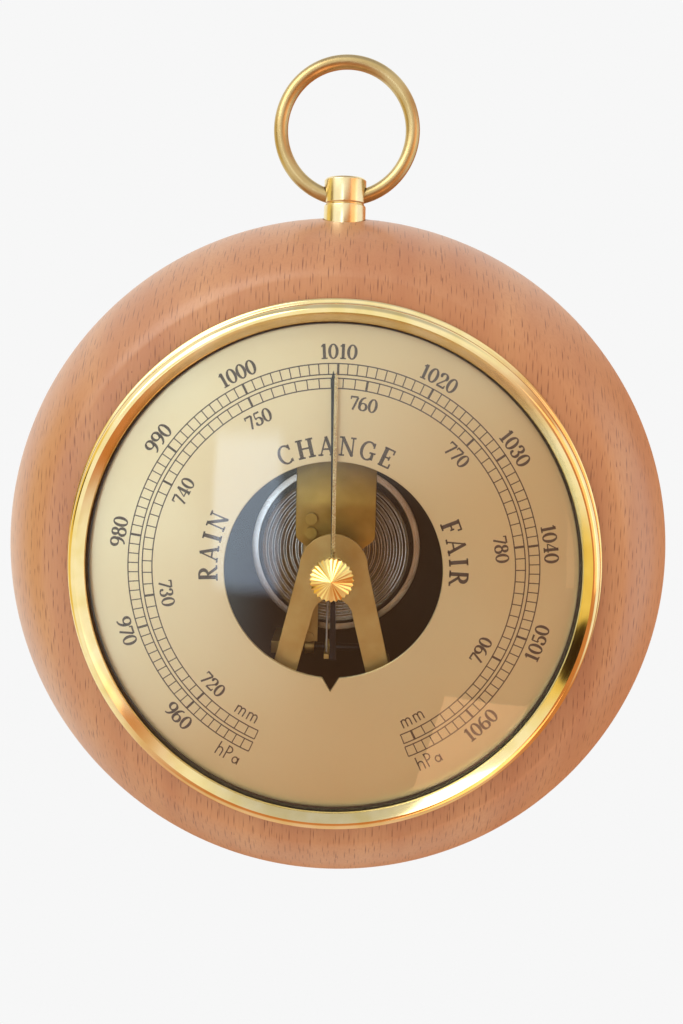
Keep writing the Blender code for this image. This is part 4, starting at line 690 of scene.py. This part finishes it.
SIX = [bow(0.33, 0.29, 0.25, 0.26, 0, 360), bow(0.46, 0.42, 0.38, 0.545, 88, 180)]
C_BOW = [bow(0.38, 0.5, 0.31, 0.465, 42, 318, 0.08), bar(0.63, 0.96, 0.63, 0.68, THIN)]
CHARACTERS = {
    "0": (0.66, [bow(0.33, 0.5, 0.25, 0.46, 0, 360)]),
    "1": (0.52, [bar(0.29, 0.02, 0.29, 1.0), bar(0.29, 0.97, 0.10, 0.82, 0.045), slab(0.29, 0.0, 0.2)]),
    "2": (0.66, [bow(0.32, 0.73, 0.22, 0.24, 170, -35), bar(0.50, 0.62, 0.10, 0.10, 0.05),
                 bar(0.07, 0.065, 0.60, 0.065, 0.065), bar(0.60, 0.03, 0.60, 0.24, THIN),
                 bow(0.13, 0.74, 0.045, 0.045, 0, 360, 0.05, 0.05)]),
    "3": (0.64, [bow(0.29, 0.755, 0.20, 0.21, 155, -90), bow(0.29, 0.285, 0.24, 0.255, 90, -155),
                 bow(0.12, 0.80, 0.04, 0.04, 0, 360, 0.05, 0.05),
                 bow(0.09, 0.22, 0.04, 0.04, 0, 360, 0.05, 0.05)]),
    "4": (0.68, [bar(0.46, 0.0, 0.46, 1.0), bar(0.46, 0.97, 0.05, 0.30, 0.04),
                 bar(0.03, 0.29, 0.65, 0.29, 0.045), slab(0.46, 0.0)]),
    "5": (0.62, [bar(0.14, 0.93, 0.54, 0.93, 0.065), bar(0.15, 0.93, 0.12, 0.50, THIN),
                 bow(0.29, 0.30, 0.25, 0.27, 130, -155), bow(0.09, 0.22, 0.04, 0.04, 0, 360, 0.05, 0.05)]),
    "6": (0.66, SIX),
    "7": (0.60, [bar(0.06, 0.925, 0.58, 0.925, 0.065), bar(0.57, 0.90, 0.24, 0.0, 0.075),
                 bar(0.07, 0.97, 0.07, 0.74, THIN)]),
    "8": (0.64, [bow(0.32, 0.76, 0.19, 0.205, 0, 360), bow(0.32, 0.275, 0.24, 0.255, 0, 360)]),
    "9": (0.66, [(np.array([0.66, 1.0]) - line, half, whole) for line, half, whole in SIX]),
    "R": (0.76, [bar(0.17, 0.0, 0.17, 1.0), bow(0.26, 0.735, 0.27, 0.235, 90, -90),
                 bar(0.10, 0.965, 0.27, 0.965, THIN), bar(0.17, 0.5, 0.27, 0.5, THIN),
                 bar(0.32, 0.50, 0.62, 0.04, 0.07), slab(0.17, 0.0), slab(0.66, 0.0, 0.1)]),
    "A": (0.78, [bar(0.38, 0.98, 0.10, 0.0, 0.04), bar(0.37, 0.99, 0.66, 0.0, 0.08),
                 bar(0.20, 0.34, 0.56, 0.34, THIN), slab(0.10, 0.0, 0.12), slab(0.66, 0.0, 0.14)]),
    "I": (0.42, [bar(0.21, 0.0, 0.21, 1.0), slab(0.21, 0.0), slab(0.21, 1.0)]),
    "N": (0.82, [bar(0.15, 0.0, 0.15, 1.0, 0.04), bar(0.15, 0.96, 0.66, 0.04, 0.08),
                 bar(0.66, 0.0, 0.66, 1.0, 0.04), slab(0.15, 0.0, 0.13), slab(0.12, 1.0, 0.12),
                 slab(0.66, 1.0, 0.13)]),
    "C": (0.74, C_BOW + [bar(0.63, 0.04, 0.63, 0.24, 0.02)]),
    "H": (0.84, [bar(0.17, 0.0, 0.17, 1.0), bar(0.67, 0.0, 0.67, 1.0), bar(0.17, 0.51, 0.67, 0.51, THIN),
                 slab(0.17, 0.0), slab(0.67, 0.0), slab(0.17, 1.0), slab(0.67, 1.0)]),
    "G": (0.80, C_BOW + [bar(0.62, 0.42, 0.62, 0.06, 0.075), slab(0.62, 0.38, 0.15)]),
    "E": (0.68, [bar(0.17, 0.0, 0.17, 1.0), bar(0.05, 0.965, 0.56, 0.965, THIN),
                 bar(0.17, 0.51, 0.44, 0.51, THIN), bar(0.05, 0.035, 0.58, 0.035, THIN),
                 bar(0.56, 1.0, 0.56, 0.76, THIN), bar(0.44, 0.62, 0.44, 0.40, THIN),
                 bar(0.58, 0.0, 0.58, 0.26, THIN)]),
    "F": (0.66, [bar(0.17, 0.0, 0.17, 1.0), bar(0.05, 0.965, 0.56, 0.965, THIN),
                 bar(0.17, 0.51, 0.44, 0.51, THIN), bar(0.56, 1.0, 0.56, 0.76, THIN),
                 bar(0.44, 0.62, 0.44, 0.40, THIN), slab(0.17, 0.0)]),
    "h": (0.62, [bar(0.12, 0.0, 0.12, 0.98, 0.045), bow(0.31, 0.38, 0.19, 0.22, 180, 0, 0.045),
                 bar(0.50, 0.38, 0.50, 0.0, 0.045)]),
    "P": (0.60, [bar(0.12, 0.0, 0.12, 0.96, 0.045), bow(0.20, 0.72, 0.26, 0.235, 90, -90, 0.045),
                 bar(0.06, 0.955, 0.21, 0.955, THIN), bar(0.12, 0.485, 0.21, 0.485, THIN)]),
    "a": (0.60, [bow(0.27, 0.25, 0.18, 0.22, 0, 360, 0.045), bar(0.48, 0.50, 0.48, 0.0, 0.045)]),
    "m": (0.86, [bar(0.12, 0.0, 0.12, 0.56, 0.045), bow(0.27, 0.38, 0.15, 0.17, 180, 0, 0.045),
                 bar(0.42, 0.38, 0.42, 0.0, 0.045), bow(0.57, 0.38, 0.15, 0.17, 180, 0, 0.045),
                 bar(0.72, 0.38, 0.72, 0.0, 0.045)]),
}
print("characters drawn:", len(CHARACTERS))


# %% Setting a line of characters round the dial
def set_text(text, angle, radius, height, gap=0.04, inward=False, stretch=1.0):
    """Strips of a text whose middle is at a clock angle, each character turned to its own place.

    A point is centre + x along the circle + (y - half) up, where up is outwards, or inwards if asked.
    """
    way = -1.0 if inward else 1.0
    widths = np.array([CHARACTERS[character][0] * stretch + gap for character in text]) * height
    middles = np.cumsum(widths) - widths / 2 - widths.sum() / 2
    strips = []
    for character, width, middle in zip(text, widths, middles):
        turned_by = np.radians(angle) + way * middle / radius
        up = way * np.array([np.sin(turned_by), np.cos(turned_by)])
        along = way * np.array([np.cos(turned_by), -np.sin(turned_by)])
        centre = radius * way * up
        for line, half, whole in CHARACTERS[character][1]:
            x = (line[:, :1] * stretch + gap / 2) * height - width / 2
            y = (line[:, 1:] - 0.5) * height
            strips.append(ribbon(centre + x * along + y * up, half * height, whole))
    return strips


# %% Figures, words and units
OUTER_RADIUS, OUTER_HEIGHT = 51.0, 3.45
INNER_RADIUS, INNER_HEIGHT = 39.6, 3.2
WORD_RADIUS, WORD_HEIGHT, WORD_GAP, WORD_STRETCH = 29.4, 4.5, 0.22, 1.08
INWARD = {960, 970, 1050, 1060, 720, 730, 790}
figures = []
for value in range(960, 1061, 10):
    figures += set_text(str(value), (value - HPA_TOP) * HPA_STEP, OUTER_RADIUS, OUTER_HEIGHT,
                        inward=value in INWARD)
for value in range(720, 791, 10):
    angle = MERCURY_ANGLE + (value - MERCURY_BASE) * MERCURY_STEP
    figures += set_text(str(value), angle, INNER_RADIUS, INNER_HEIGHT, inward=value in INWARD)
printed("figures_print", figures)
words = []
for word, angle in (("RAIN", -80.0), ("CHANGE", 0.0), ("FAIR", 80.0)):
    words += set_text(word, angle, WORD_RADIUS, WORD_HEIGHT, WORD_GAP, stretch=WORD_STRETCH)
printed("words_print", words)
# Each unit: its text, clock angle, radius and height. It stands at both ends of its scale.
UNITS, UNIT_GAP = (("mm", 150.6, 39.6, 3.6), ("hPa", 151.9, 50.8, 3.5)), 0.02
units = []
for side in (-1, 1):
    for text, angle, radius, height in UNITS:
        units += set_text(text, side * angle, radius, height, UNIT_GAP, inward=True)
printed("units_print", units)

# %% [markdown]
# ## The movement behind the window
# The capsule's front is a thin disc pressed into rings, which let it move in and out like a bellows:
# its depth is a cosine of the radius. The strap over it is a bent spring, a section carried along a
# path. The bridge and the levers are flat stampings, whose filed edges catch the light, so they are
# copies of their solids with a small bevel.

# %% Capsule
cap_low, cap_high = extent("capsule_front")
CAPSULE_Z, CAPSULE_RADIUS = (cap_low[2] + cap_high[2]) / 2, radius_of("capsule_front")
CAPSULE_WALL, CAPSULE_RISE, CAPSULE_RIM, COLLAR = 0.5, 2.4, 1.9, 2.2
WAVES, WAVE_HEIGHT, CENTRE_RADIUS, RIM_SLOPE = 9, 0.42, 5.0, 1.2
COLLAR_OUTSIDE, COLLAR_INSIDE = 3.6, 2.4
rim_front = cap_low[1] + CAPSULE_WALL
crest = rim_front + CAPSULE_RISE
wave_start = CAPSULE_RADIUS - CAPSULE_RIM - RIM_SLOPE
wave_share = np.linspace(0.0, 1.0, WAVES * 10 + 1)
wave_radius = wave_start + (CENTRE_RADIUS - wave_start) * wave_share
wave_depth = crest - WAVE_HEIGHT * (1 - np.cos(2 * np.pi * WAVES * wave_share)) / 2
rim_edge = eased([(0.0, cap_low[1]), (CAPSULE_RADIUS, cap_low[1]), (CAPSULE_RADIUS, rim_front),
                  (CAPSULE_RADIUS - CAPSULE_RIM, rim_front), (wave_start, crest)], 0.25, 4)
collar_path = eased([(CENTRE_RADIUS, crest), (COLLAR_OUTSIDE, crest), (COLLAR_OUTSIDE, crest + COLLAR),
                     (COLLAR_INSIDE, crest + COLLAR), (COLLAR_INSIDE, crest), (0.0, crest)], 0.15, 3)
capsule_profile = np.vstack([rim_edge, np.stack([wave_radius, wave_depth], axis=1)[1:], collar_path[1:]])
capsule = turned("capsule_pressed", capsule_profile, (0.0, CAPSULE_Z), steps=160)
place(capsule, "case", METALS["nickel_silver"], "nickel_silver", "capsule_front")

# %% Mainspring strap
STRAP_THICK, STRAP_CORNER, STRAP_HALF, NECK_HALF = 0.8, 0.22, 9.8, 4.5
spring_low, spring_high = extent("mainspring")
# Points (height, depth, half width): a straight slope from the tongue's tip, over the neck, to the bend.
TIP_HEIGHT, TIP_DEPTH, STRAP_SLOPE, OVER_BEND = -2.0, 24.0, 0.1, (29.5, 24.4, STRAP_HALF)
slope = [(height, TIP_DEPTH + STRAP_SLOPE * (height - TIP_HEIGHT), half) for height, half in
         ((TIP_HEIGHT, NECK_HALF), (1.6, NECK_HALF), (5.8, STRAP_HALF), (14.0, STRAP_HALF))]
# The loop turns back from the strap to its foot.
LOOP_HEIGHT, LOOP_DEPTH, LOOP_SHAPE, FOOT_END, FOOT_DEPTH = 32.5, 24.1, 0.8, 26.5, 11.4
loop_radius = (LOOP_DEPTH - FOOT_DEPTH) / 2
loop = elliptic((LOOP_HEIGHT, FOOT_DEPTH + loop_radius), (loop_radius * LOOP_SHAPE, loop_radius),
                80, -90, 24)
strap_path = np.vstack([
    eased(slope + [OVER_BEND], 1.2, 6), np.column_stack([loop, np.full(len(loop), STRAP_HALF)]),
    [(FOOT_END, FOOT_DEPTH, STRAP_HALF)]])
run = np.gradient(strap_path[:, :2], axis=0)
run /= np.linalg.norm(run, axis=1, keepdims=True)
across_strap = np.stack([-run[:, 1], run[:, 0]], axis=1)
square = np.array([(-1, 1), (1, 1), (1, -1), (-1, -1)], float)
UNIT_CORNER = 0.4
inset = eased(square, UNIT_CORNER, 3, closed=True)
signs = np.sign(inset)
corner = (inset - signs) * STRAP_CORNER / UNIT_CORNER
section_x = signs[:, 0] * strap_path[:, 2:3] + corner[:, 0]
section_n = signs[:, 1] * STRAP_THICK / 2 + corner[:, 1]
strap_z = strap_path[:, 0:1] + across_strap[:, 0:1] * section_n
strap_depth = strap_path[:, 1:2] + across_strap[:, 1:2] * section_n
strap_points = np.stack([section_x, strap_depth, strap_z], axis=-1)
strap_faces = grid_quads(len(strap_path), len(inset), loop=True).tolist()
count = len(inset)
strap_faces += [list(range(count)), list(range((len(strap_path) - 1) * count, len(strap_path) * count))]
strap = mesh_piece("mainspring_strap", strap_points, strap_faces)
print("strap from", strap_points.reshape(-1, 3).min(0).round(2), "to",
      strap_points.reshape(-1, 3).max(0).round(2), "solid", spring_low.round(2), spring_high.round(2))
place(strap, "lever", METALS["spring_bronze"], "spring_bronze", "mainspring")

# %% Stampings with filed edges
for node, body, slot, finish, edge in (
        ("bridge", "case", "bridge_brass", "bridge_brass", 0.32),
        ("arbor_bush", "case", "bridge_brass", "bezel_brass", 0.12),
        ("lever_arm", "lever", "bridge_brass", "bridge_brass", 0.15),
        ("rocker_bearing_left", "case", "bridge_brass", "bridge_brass", 0.2),
        ("rocker_bearing_right", "case", "bridge_brass", "bridge_brass", 0.2),
        ("rocker_crank", "rocker", "bridge_brass", "bridge_brass", 0.12),
        ("rocker_arm", "rocker", "bridge_brass", "bridge_brass", 0.12),
        ("spring_foot", "case", "plated_steel", "plated_steel", 0.25),
        ("set_hand", "set_hand", "knob_brass", "hand_brass", 0.08),
        ("pointer", "hand", "black_steel", "black_steel", 0.08),
        ("set_washer", "case", "knob_brass", "bezel_brass", 0.08)):
    place(refined(node, edge), body, METALS[finish], slot, node)

# %% [markdown]
# ## The setting knob
# A low cone with a milled edge: small pointed teeth, whose creases run up the cone and die out at
# its tip. The radius is a zigzag of the angle times how far out the point is, so every facet stays
# flat, and the edges between facets are kept sharp.

# %% Knob
knob_low, knob_high = extent("set_knob")
KNOB_RADIUS, KNOB_BACK = radius_of("set_knob"), knob_low[1]
TEETH, TOOTH, KNOB_RIM, KNOB_EDGE, KNOB_CHAMFER = 28, 0.42, 1.7, 0.16, 0.35
KNOB_BORE, TIP_RADIUS, TIP_ROUND = 1.1, 0.35, 0.13
knob_angle = np.linspace(0.0, 2 * np.pi, 2 * TEETH, endpoint=False)[:, None]
zigzag = np.where(np.arange(2 * TEETH) % 2 == 0, 0.0, -TOOTH / KNOB_RADIUS)[:, None]
milled_front, tip_front = KNOB_BACK + KNOB_RIM, knob_high[1]
# Each row: how far out, how deep, and the share of the teeth. It runs from the bore's end to the tip.
knob_profile = np.array([
    (0.0, milled_front + HOLE_GAP, 0.0), (KNOB_BORE, milled_front + HOLE_GAP, 0.0),
    (KNOB_BORE, KNOB_BACK, 0.0),
    (KNOB_RADIUS - KNOB_CHAMFER, KNOB_BACK, 1.0), (KNOB_RADIUS, KNOB_BACK + KNOB_CHAMFER, 1.0),
    (KNOB_RADIUS, milled_front - KNOB_EDGE, 1.0), (KNOB_RADIUS - KNOB_EDGE, milled_front, 1.0),
    (TIP_RADIUS, tip_front - TIP_ROUND, 1.0), (0.0, tip_front, 0.0)])
knob_out = knob_profile[:, 0] * (1.0 + zigzag * knob_profile[:, 2])
knob_deep = np.broadcast_to(knob_profile[:, 1], knob_out.shape)
knob_points = np.stack([knob_out * np.sin(knob_angle), knob_deep, knob_out * np.cos(knob_angle)], axis=-1)
knob = mesh_piece("knob_milled", knob_points, grid_quads(2 * TEETH, knob_points.shape[1], ring=True), 10.0)
place(knob, "set_hand", METALS["knob_brass"], "knob_brass", "set_knob")

# %% [markdown]
# ## The hanger
# A stud turned from bar, with a fine groove over the wood and a cross bore for the ring, which is
# bent from wire. The ring is a circle carried round a circle, and stops just short of closing.

# %% Ring
ring_low, ring_high = extent("hanging_ring")
WIRE = (ring_high[1] - ring_low[1]) / 2
RING_RADIUS = radius_of("hanging_ring") - WIRE
RING_Z, RING_SPLIT = ring_high[2] - radius_of("hanging_ring"), 0.3
gap_angle = np.arcsin(RING_SPLIT / 2 / RING_RADIUS)
RING_STEPS, WIRE_STEPS = 181, 32
ring_angle = np.linspace(-np.pi + gap_angle, np.pi - gap_angle, RING_STEPS)[:, None]
wire_angle = np.linspace(0.0, 2 * np.pi, WIRE_STEPS, endpoint=False)
ring_reach = RING_RADIUS + WIRE * np.cos(wire_angle)
ring_depth = np.broadcast_to(STUD_DEPTH + WIRE * np.sin(wire_angle), (RING_STEPS, WIRE_STEPS))
ring_points = np.stack([ring_reach * np.sin(ring_angle), ring_depth,
                        RING_Z + ring_reach * np.cos(ring_angle)], axis=-1)
last_ring = (RING_STEPS - 1) * WIRE_STEPS
ring_faces = grid_quads(RING_STEPS, WIRE_STEPS, loop=True).tolist()
ring_faces += [list(range(WIRE_STEPS)), list(range(last_ring, last_ring + WIRE_STEPS))]
place(mesh_piece("ring_bent_wire", ring_points, ring_faces, 50.0), "ring", METALS["ring_brass"],
      "ring_brass", "hanging_ring")

# %% Stud
STUD_TOP, STUD_CHAMFER, GROOVE_Z, GROOVE_HALF, GROOVE_IN = stud_high[2], 0.5, 87.8, 0.375, 0.4
stud_profile = eased([
    (0.0, stud_low[2]), (SHANK_RADIUS, stud_low[2]), (SHANK_RADIUS, STUD_SEAT), (STUD_RADIUS, STUD_SEAT),
    (STUD_RADIUS, GROOVE_Z - GROOVE_HALF), (STUD_RADIUS - GROOVE_IN, GROOVE_Z),
    (STUD_RADIUS, GROOVE_Z + GROOVE_HALF), (STUD_RADIUS, STUD_TOP - STUD_CHAMFER),
    (STUD_RADIUS - STUD_CHAMFER, STUD_TOP), (0.0, STUD_TOP)], 0.12, 3)
stud = turned("stud_turned", stud_profile, (0.0, STUD_DEPTH), "upright", 96)
BORE_Z, BORE, FLAT_BORE, BORE_HALF, BORE_EASE, BORE_REACH = 89.7, 2.475, 2.625, 4.7, 0.12, 8.0
half_bore = [(BORE, BORE_HALF - BORE_EASE), (FLAT_BORE, BORE_HALF), (FLAT_BORE, BORE_REACH),
             (0.0, BORE_REACH)]
bore_profile = [(radius, -along) for radius, along in reversed(half_bore)] + half_bore
cut_with(stud, turned("stud_bore", bore_profile, (STUD_DEPTH, BORE_Z), "cross", 62))
place(stud, "case", METALS["stud_brass"], "ring_brass", "hanger_stud")

# %% [markdown]
# ## Light, room and camera
# Polished brass has no look of its own: it shows the room. The paper behind the object is seen by
# the camera only, so that it throws no hard edge into the metal or the glass. They mirror a room
# drawn in the world instead: round zones in the colours of walls, floor and ceiling, laid one over
# the other, and one window, which lays a bluish pane on the left of the glass.

# %% Sweep of paper behind and below
SWEEP_Z, SWEEP_Y, SWEEP_BEND, SWEEP_HALF, SWEEP_REACH = -330.0, 900.0, 400.0, 2600.0, 2200.0
bend = elliptic((-SWEEP_Y + SWEEP_BEND, SWEEP_Z + SWEEP_BEND), (SWEEP_BEND, SWEEP_BEND), -90, -180, 24)
sweep_line = np.vstack([[(SWEEP_REACH, SWEEP_Z)], bend, [(-SWEEP_Y, SWEEP_REACH)]])
sweep_x = np.array([-SWEEP_HALF, SWEEP_HALF])[:, None]
sweep_points = np.stack([np.broadcast_to(sweep_x, (2, len(sweep_line))),
                         np.broadcast_to(sweep_line[:, 0], (2, len(sweep_line))),
                         np.broadcast_to(sweep_line[:, 1], (2, len(sweep_line)))], axis=-1)
sweep = mesh_piece("paper_sweep", sweep_points, grid_quads(2, len(sweep_line)), 60.0)
# Even and very pale, with a fibre that only just shows. It glows, so that no shadow falls on it.
paper = mottled("paper_matt_white", "#F8F8F8", "#F6F6F6", 0.9, 2.0, 2.0)
paper_tree = paper.node_tree
paper_tone = paper_tree.nodes["Principled BSDF"].inputs["Base Color"].links[0].from_socket
glow = add_node(paper_tree, "Emission", Color=paper_tone, Strength=1.0)
paper_tree.links.new(glow.outputs[0], paper_tree.nodes["Material Output"].inputs["Surface"])
sweep.data.materials.append(paper)
sweep.visible_glossy = sweep.visible_transmission = False
print("paper sweep:", len(sweep.data.polygons), "faces")


# %% Lamps
def lamp(name, kind_size, power, tint, at, towards=(0.0, 0.0, 0.0)):
    """A soft square lamp at a point in metres, turned towards another."""
    light = bpy.data.lights.new(name, "AREA")
    light.shape, light.size, light.energy, light.color = "SQUARE", kind_size, power, linear(tint)[:3]
    held = bpy.data.objects.new(name, light)
    held.location = at
    held.rotation_euler = (Vector(towards) - Vector(at)).to_track_quat("-Z", "Y").to_euler()
    bpy.context.scene.collection.objects.link(held)
    return held


lamp("lamp_upper_left", 0.9, 7.4, "#FFFCF6", (-0.75, -0.85, 0.95))
lamp("lamp_right", 0.8, 1.9, "#FFD2A6", (0.95, -0.75, 0.15))
lamp("lamp_below", 0.5, 1.5, "#FFBE8E", (0.45, -0.75, -0.75))
print("lamps:", len(bpy.data.lights))

# %% World: what the brass and the glass mirror
world = bpy.data.worlds.new("studio")
bpy.context.scene.world = world
world.use_nodes = True
sky = world.node_tree
direction = add_node(sky, "TexCoord").outputs["Generated"]
room = linear("#CC8658")
# Round zones of the room: the middle, the angles from it where a zone starts and is whole, the colour.
ZONES = (((-1.0, 0.0, 1.0), 107.64, 80.70, "#FFFDF6"), ((1.0, 0.0, 0.0), 36.87, 18.19, "#FFFFFF"),
         ((-1.0, 0.0, 0.0), 30.68, 19.95, "#F2D47C"), ((0.0, 0.0, 1.0), 43.95, 18.19, "#C4C4CC"),
         ((0.0, 0.0, -1.0), 45.57, 23.07, "#E4C6B4"), ((0.07, -1.0, -0.22), 21.0, 11.0, "#AC7852"),
         ((-0.965, -0.24, 0.10), 8.5, 7.0, "#2E1C0C"))
for middle, outer, inner, colour in ZONES:
    near = add_node(sky, "VectorMath", operation="DOT_PRODUCT", _0=direction,
                    _1=Vector(middle).normalized())
    share = add_node(sky, "MapRange", Value=near.outputs["Value"], From_Min=np.cos(np.radians(outer)),
                     From_Max=np.cos(np.radians(inner)), interpolation_type="SMOOTHSTEP")
    room = add_node(sky, "Mix", data_type="RGBA", _0=share.outputs[0], _6=room,
                    _7=linear(colour)).outputs[2]
rays = add_node(sky, "LightPath")
seen = add_node(sky, "Mix", data_type="RGBA", _0=rays.outputs["Is Camera Ray"], _6=room,
                _7=linear("#EEEEEE"))
sky.links.new(seen.outputs[2], sky.nodes["Background"].inputs["Color"])
sky.nodes["Background"].inputs["Strength"].default_value = 1.08
print("world has", len(ZONES), "zones")

# %% World: a tall daylit window at the reader's left
DAYLIGHT, NEARLY_SIDEWAYS = 2.6, 0.01
# Its edges, in sideways or upward distance over distance ahead: where the light starts and is whole.
WINDOW_EDGES = (("X", -0.36, -0.33), ("X", -0.15, -0.18), ("Z", -0.26, -0.20), ("Z", 0.22, 0.14))
parts = add_node(sky, "SeparateXYZ", Vector=direction)
ahead = add_node(sky, "Math", operation="MULTIPLY", _0=parts.outputs["Y"], _1=-1.0)
ahead = add_node(sky, "Math", operation="MAXIMUM", _0=ahead.outputs[0], _1=NEARLY_SIDEWAYS)
unseen = add_node(sky, "Math", operation="SUBTRACT", _0=1.0, _1=rays.outputs["Is Camera Ray"])
daylight = add_node(sky, "Math", operation="MULTIPLY", _0=unseen.outputs[0], _1=DAYLIGHT)
for axis, outer, inner in WINDOW_EDGES:
    across = add_node(sky, "Math", operation="DIVIDE", _0=parts.outputs[axis], _1=ahead.outputs[0])
    inside_edge = add_node(sky, "MapRange", Value=across.outputs[0], From_Min=outer, From_Max=inner,
                           interpolation_type="SMOOTHSTEP")
    daylight = add_node(sky, "Math", operation="MULTIPLY", _0=daylight.outputs[0],
                        _1=inside_edge.outputs[0])
window = add_node(sky, "Background", Color=linear("#C4DAF8"), Strength=daylight.outputs[0])
both = add_node(sky, "AddShader", _0=sky.nodes["Background"].outputs[0], _1=window.outputs[0])
sky.links.new(both.outputs[0], sky.nodes["World Output"].inputs["Surface"])
print("window has", len(WINDOW_EDGES), "soft edges; world nodes:", len(sky.nodes))

# %% Camera
CAMERA_DISTANCE, AZIMUTH, ELEVATION, ROLL = 250.0, 1.06, 6.99, 1.5
TARGET, LENS = (1.6, 38.0, 14.0), 37.6
az, el, roll = np.radians([AZIMUTH, ELEVATION, ROLL])
back = np.array([np.sin(az) * np.cos(el), -np.cos(az) * np.cos(el), np.sin(el)])
side = np.cross([0.0, 0.0, 1.0], back)
side /= np.linalg.norm(side)
rise = np.cross(back, side)
right = np.cos(roll) * side + np.sin(roll) * rise
up = -np.sin(roll) * side + np.cos(roll) * rise
target = np.array([TARGET[0], -TARGET[1], TARGET[2]]) * MM
camera_data = bpy.data.cameras.new("camera")
camera_data.lens, camera_data.sensor_width, camera_data.clip_start = LENS, 36.0, 0.01
camera = bpy.data.objects.new("camera", camera_data)
turn_matrix = Matrix(np.column_stack([right, up, back]).tolist()).to_4x4()
camera.matrix_world = Matrix.Translation((target + back * CAMERA_DISTANCE * MM).tolist()) @ turn_matrix
bpy.context.scene.collection.objects.link(camera)
bpy.context.scene.camera = camera
bpy.context.scene.view_settings.view_transform = "Standard"
print("camera at", [round(value, 3) for value in camera.matrix_world.translation])
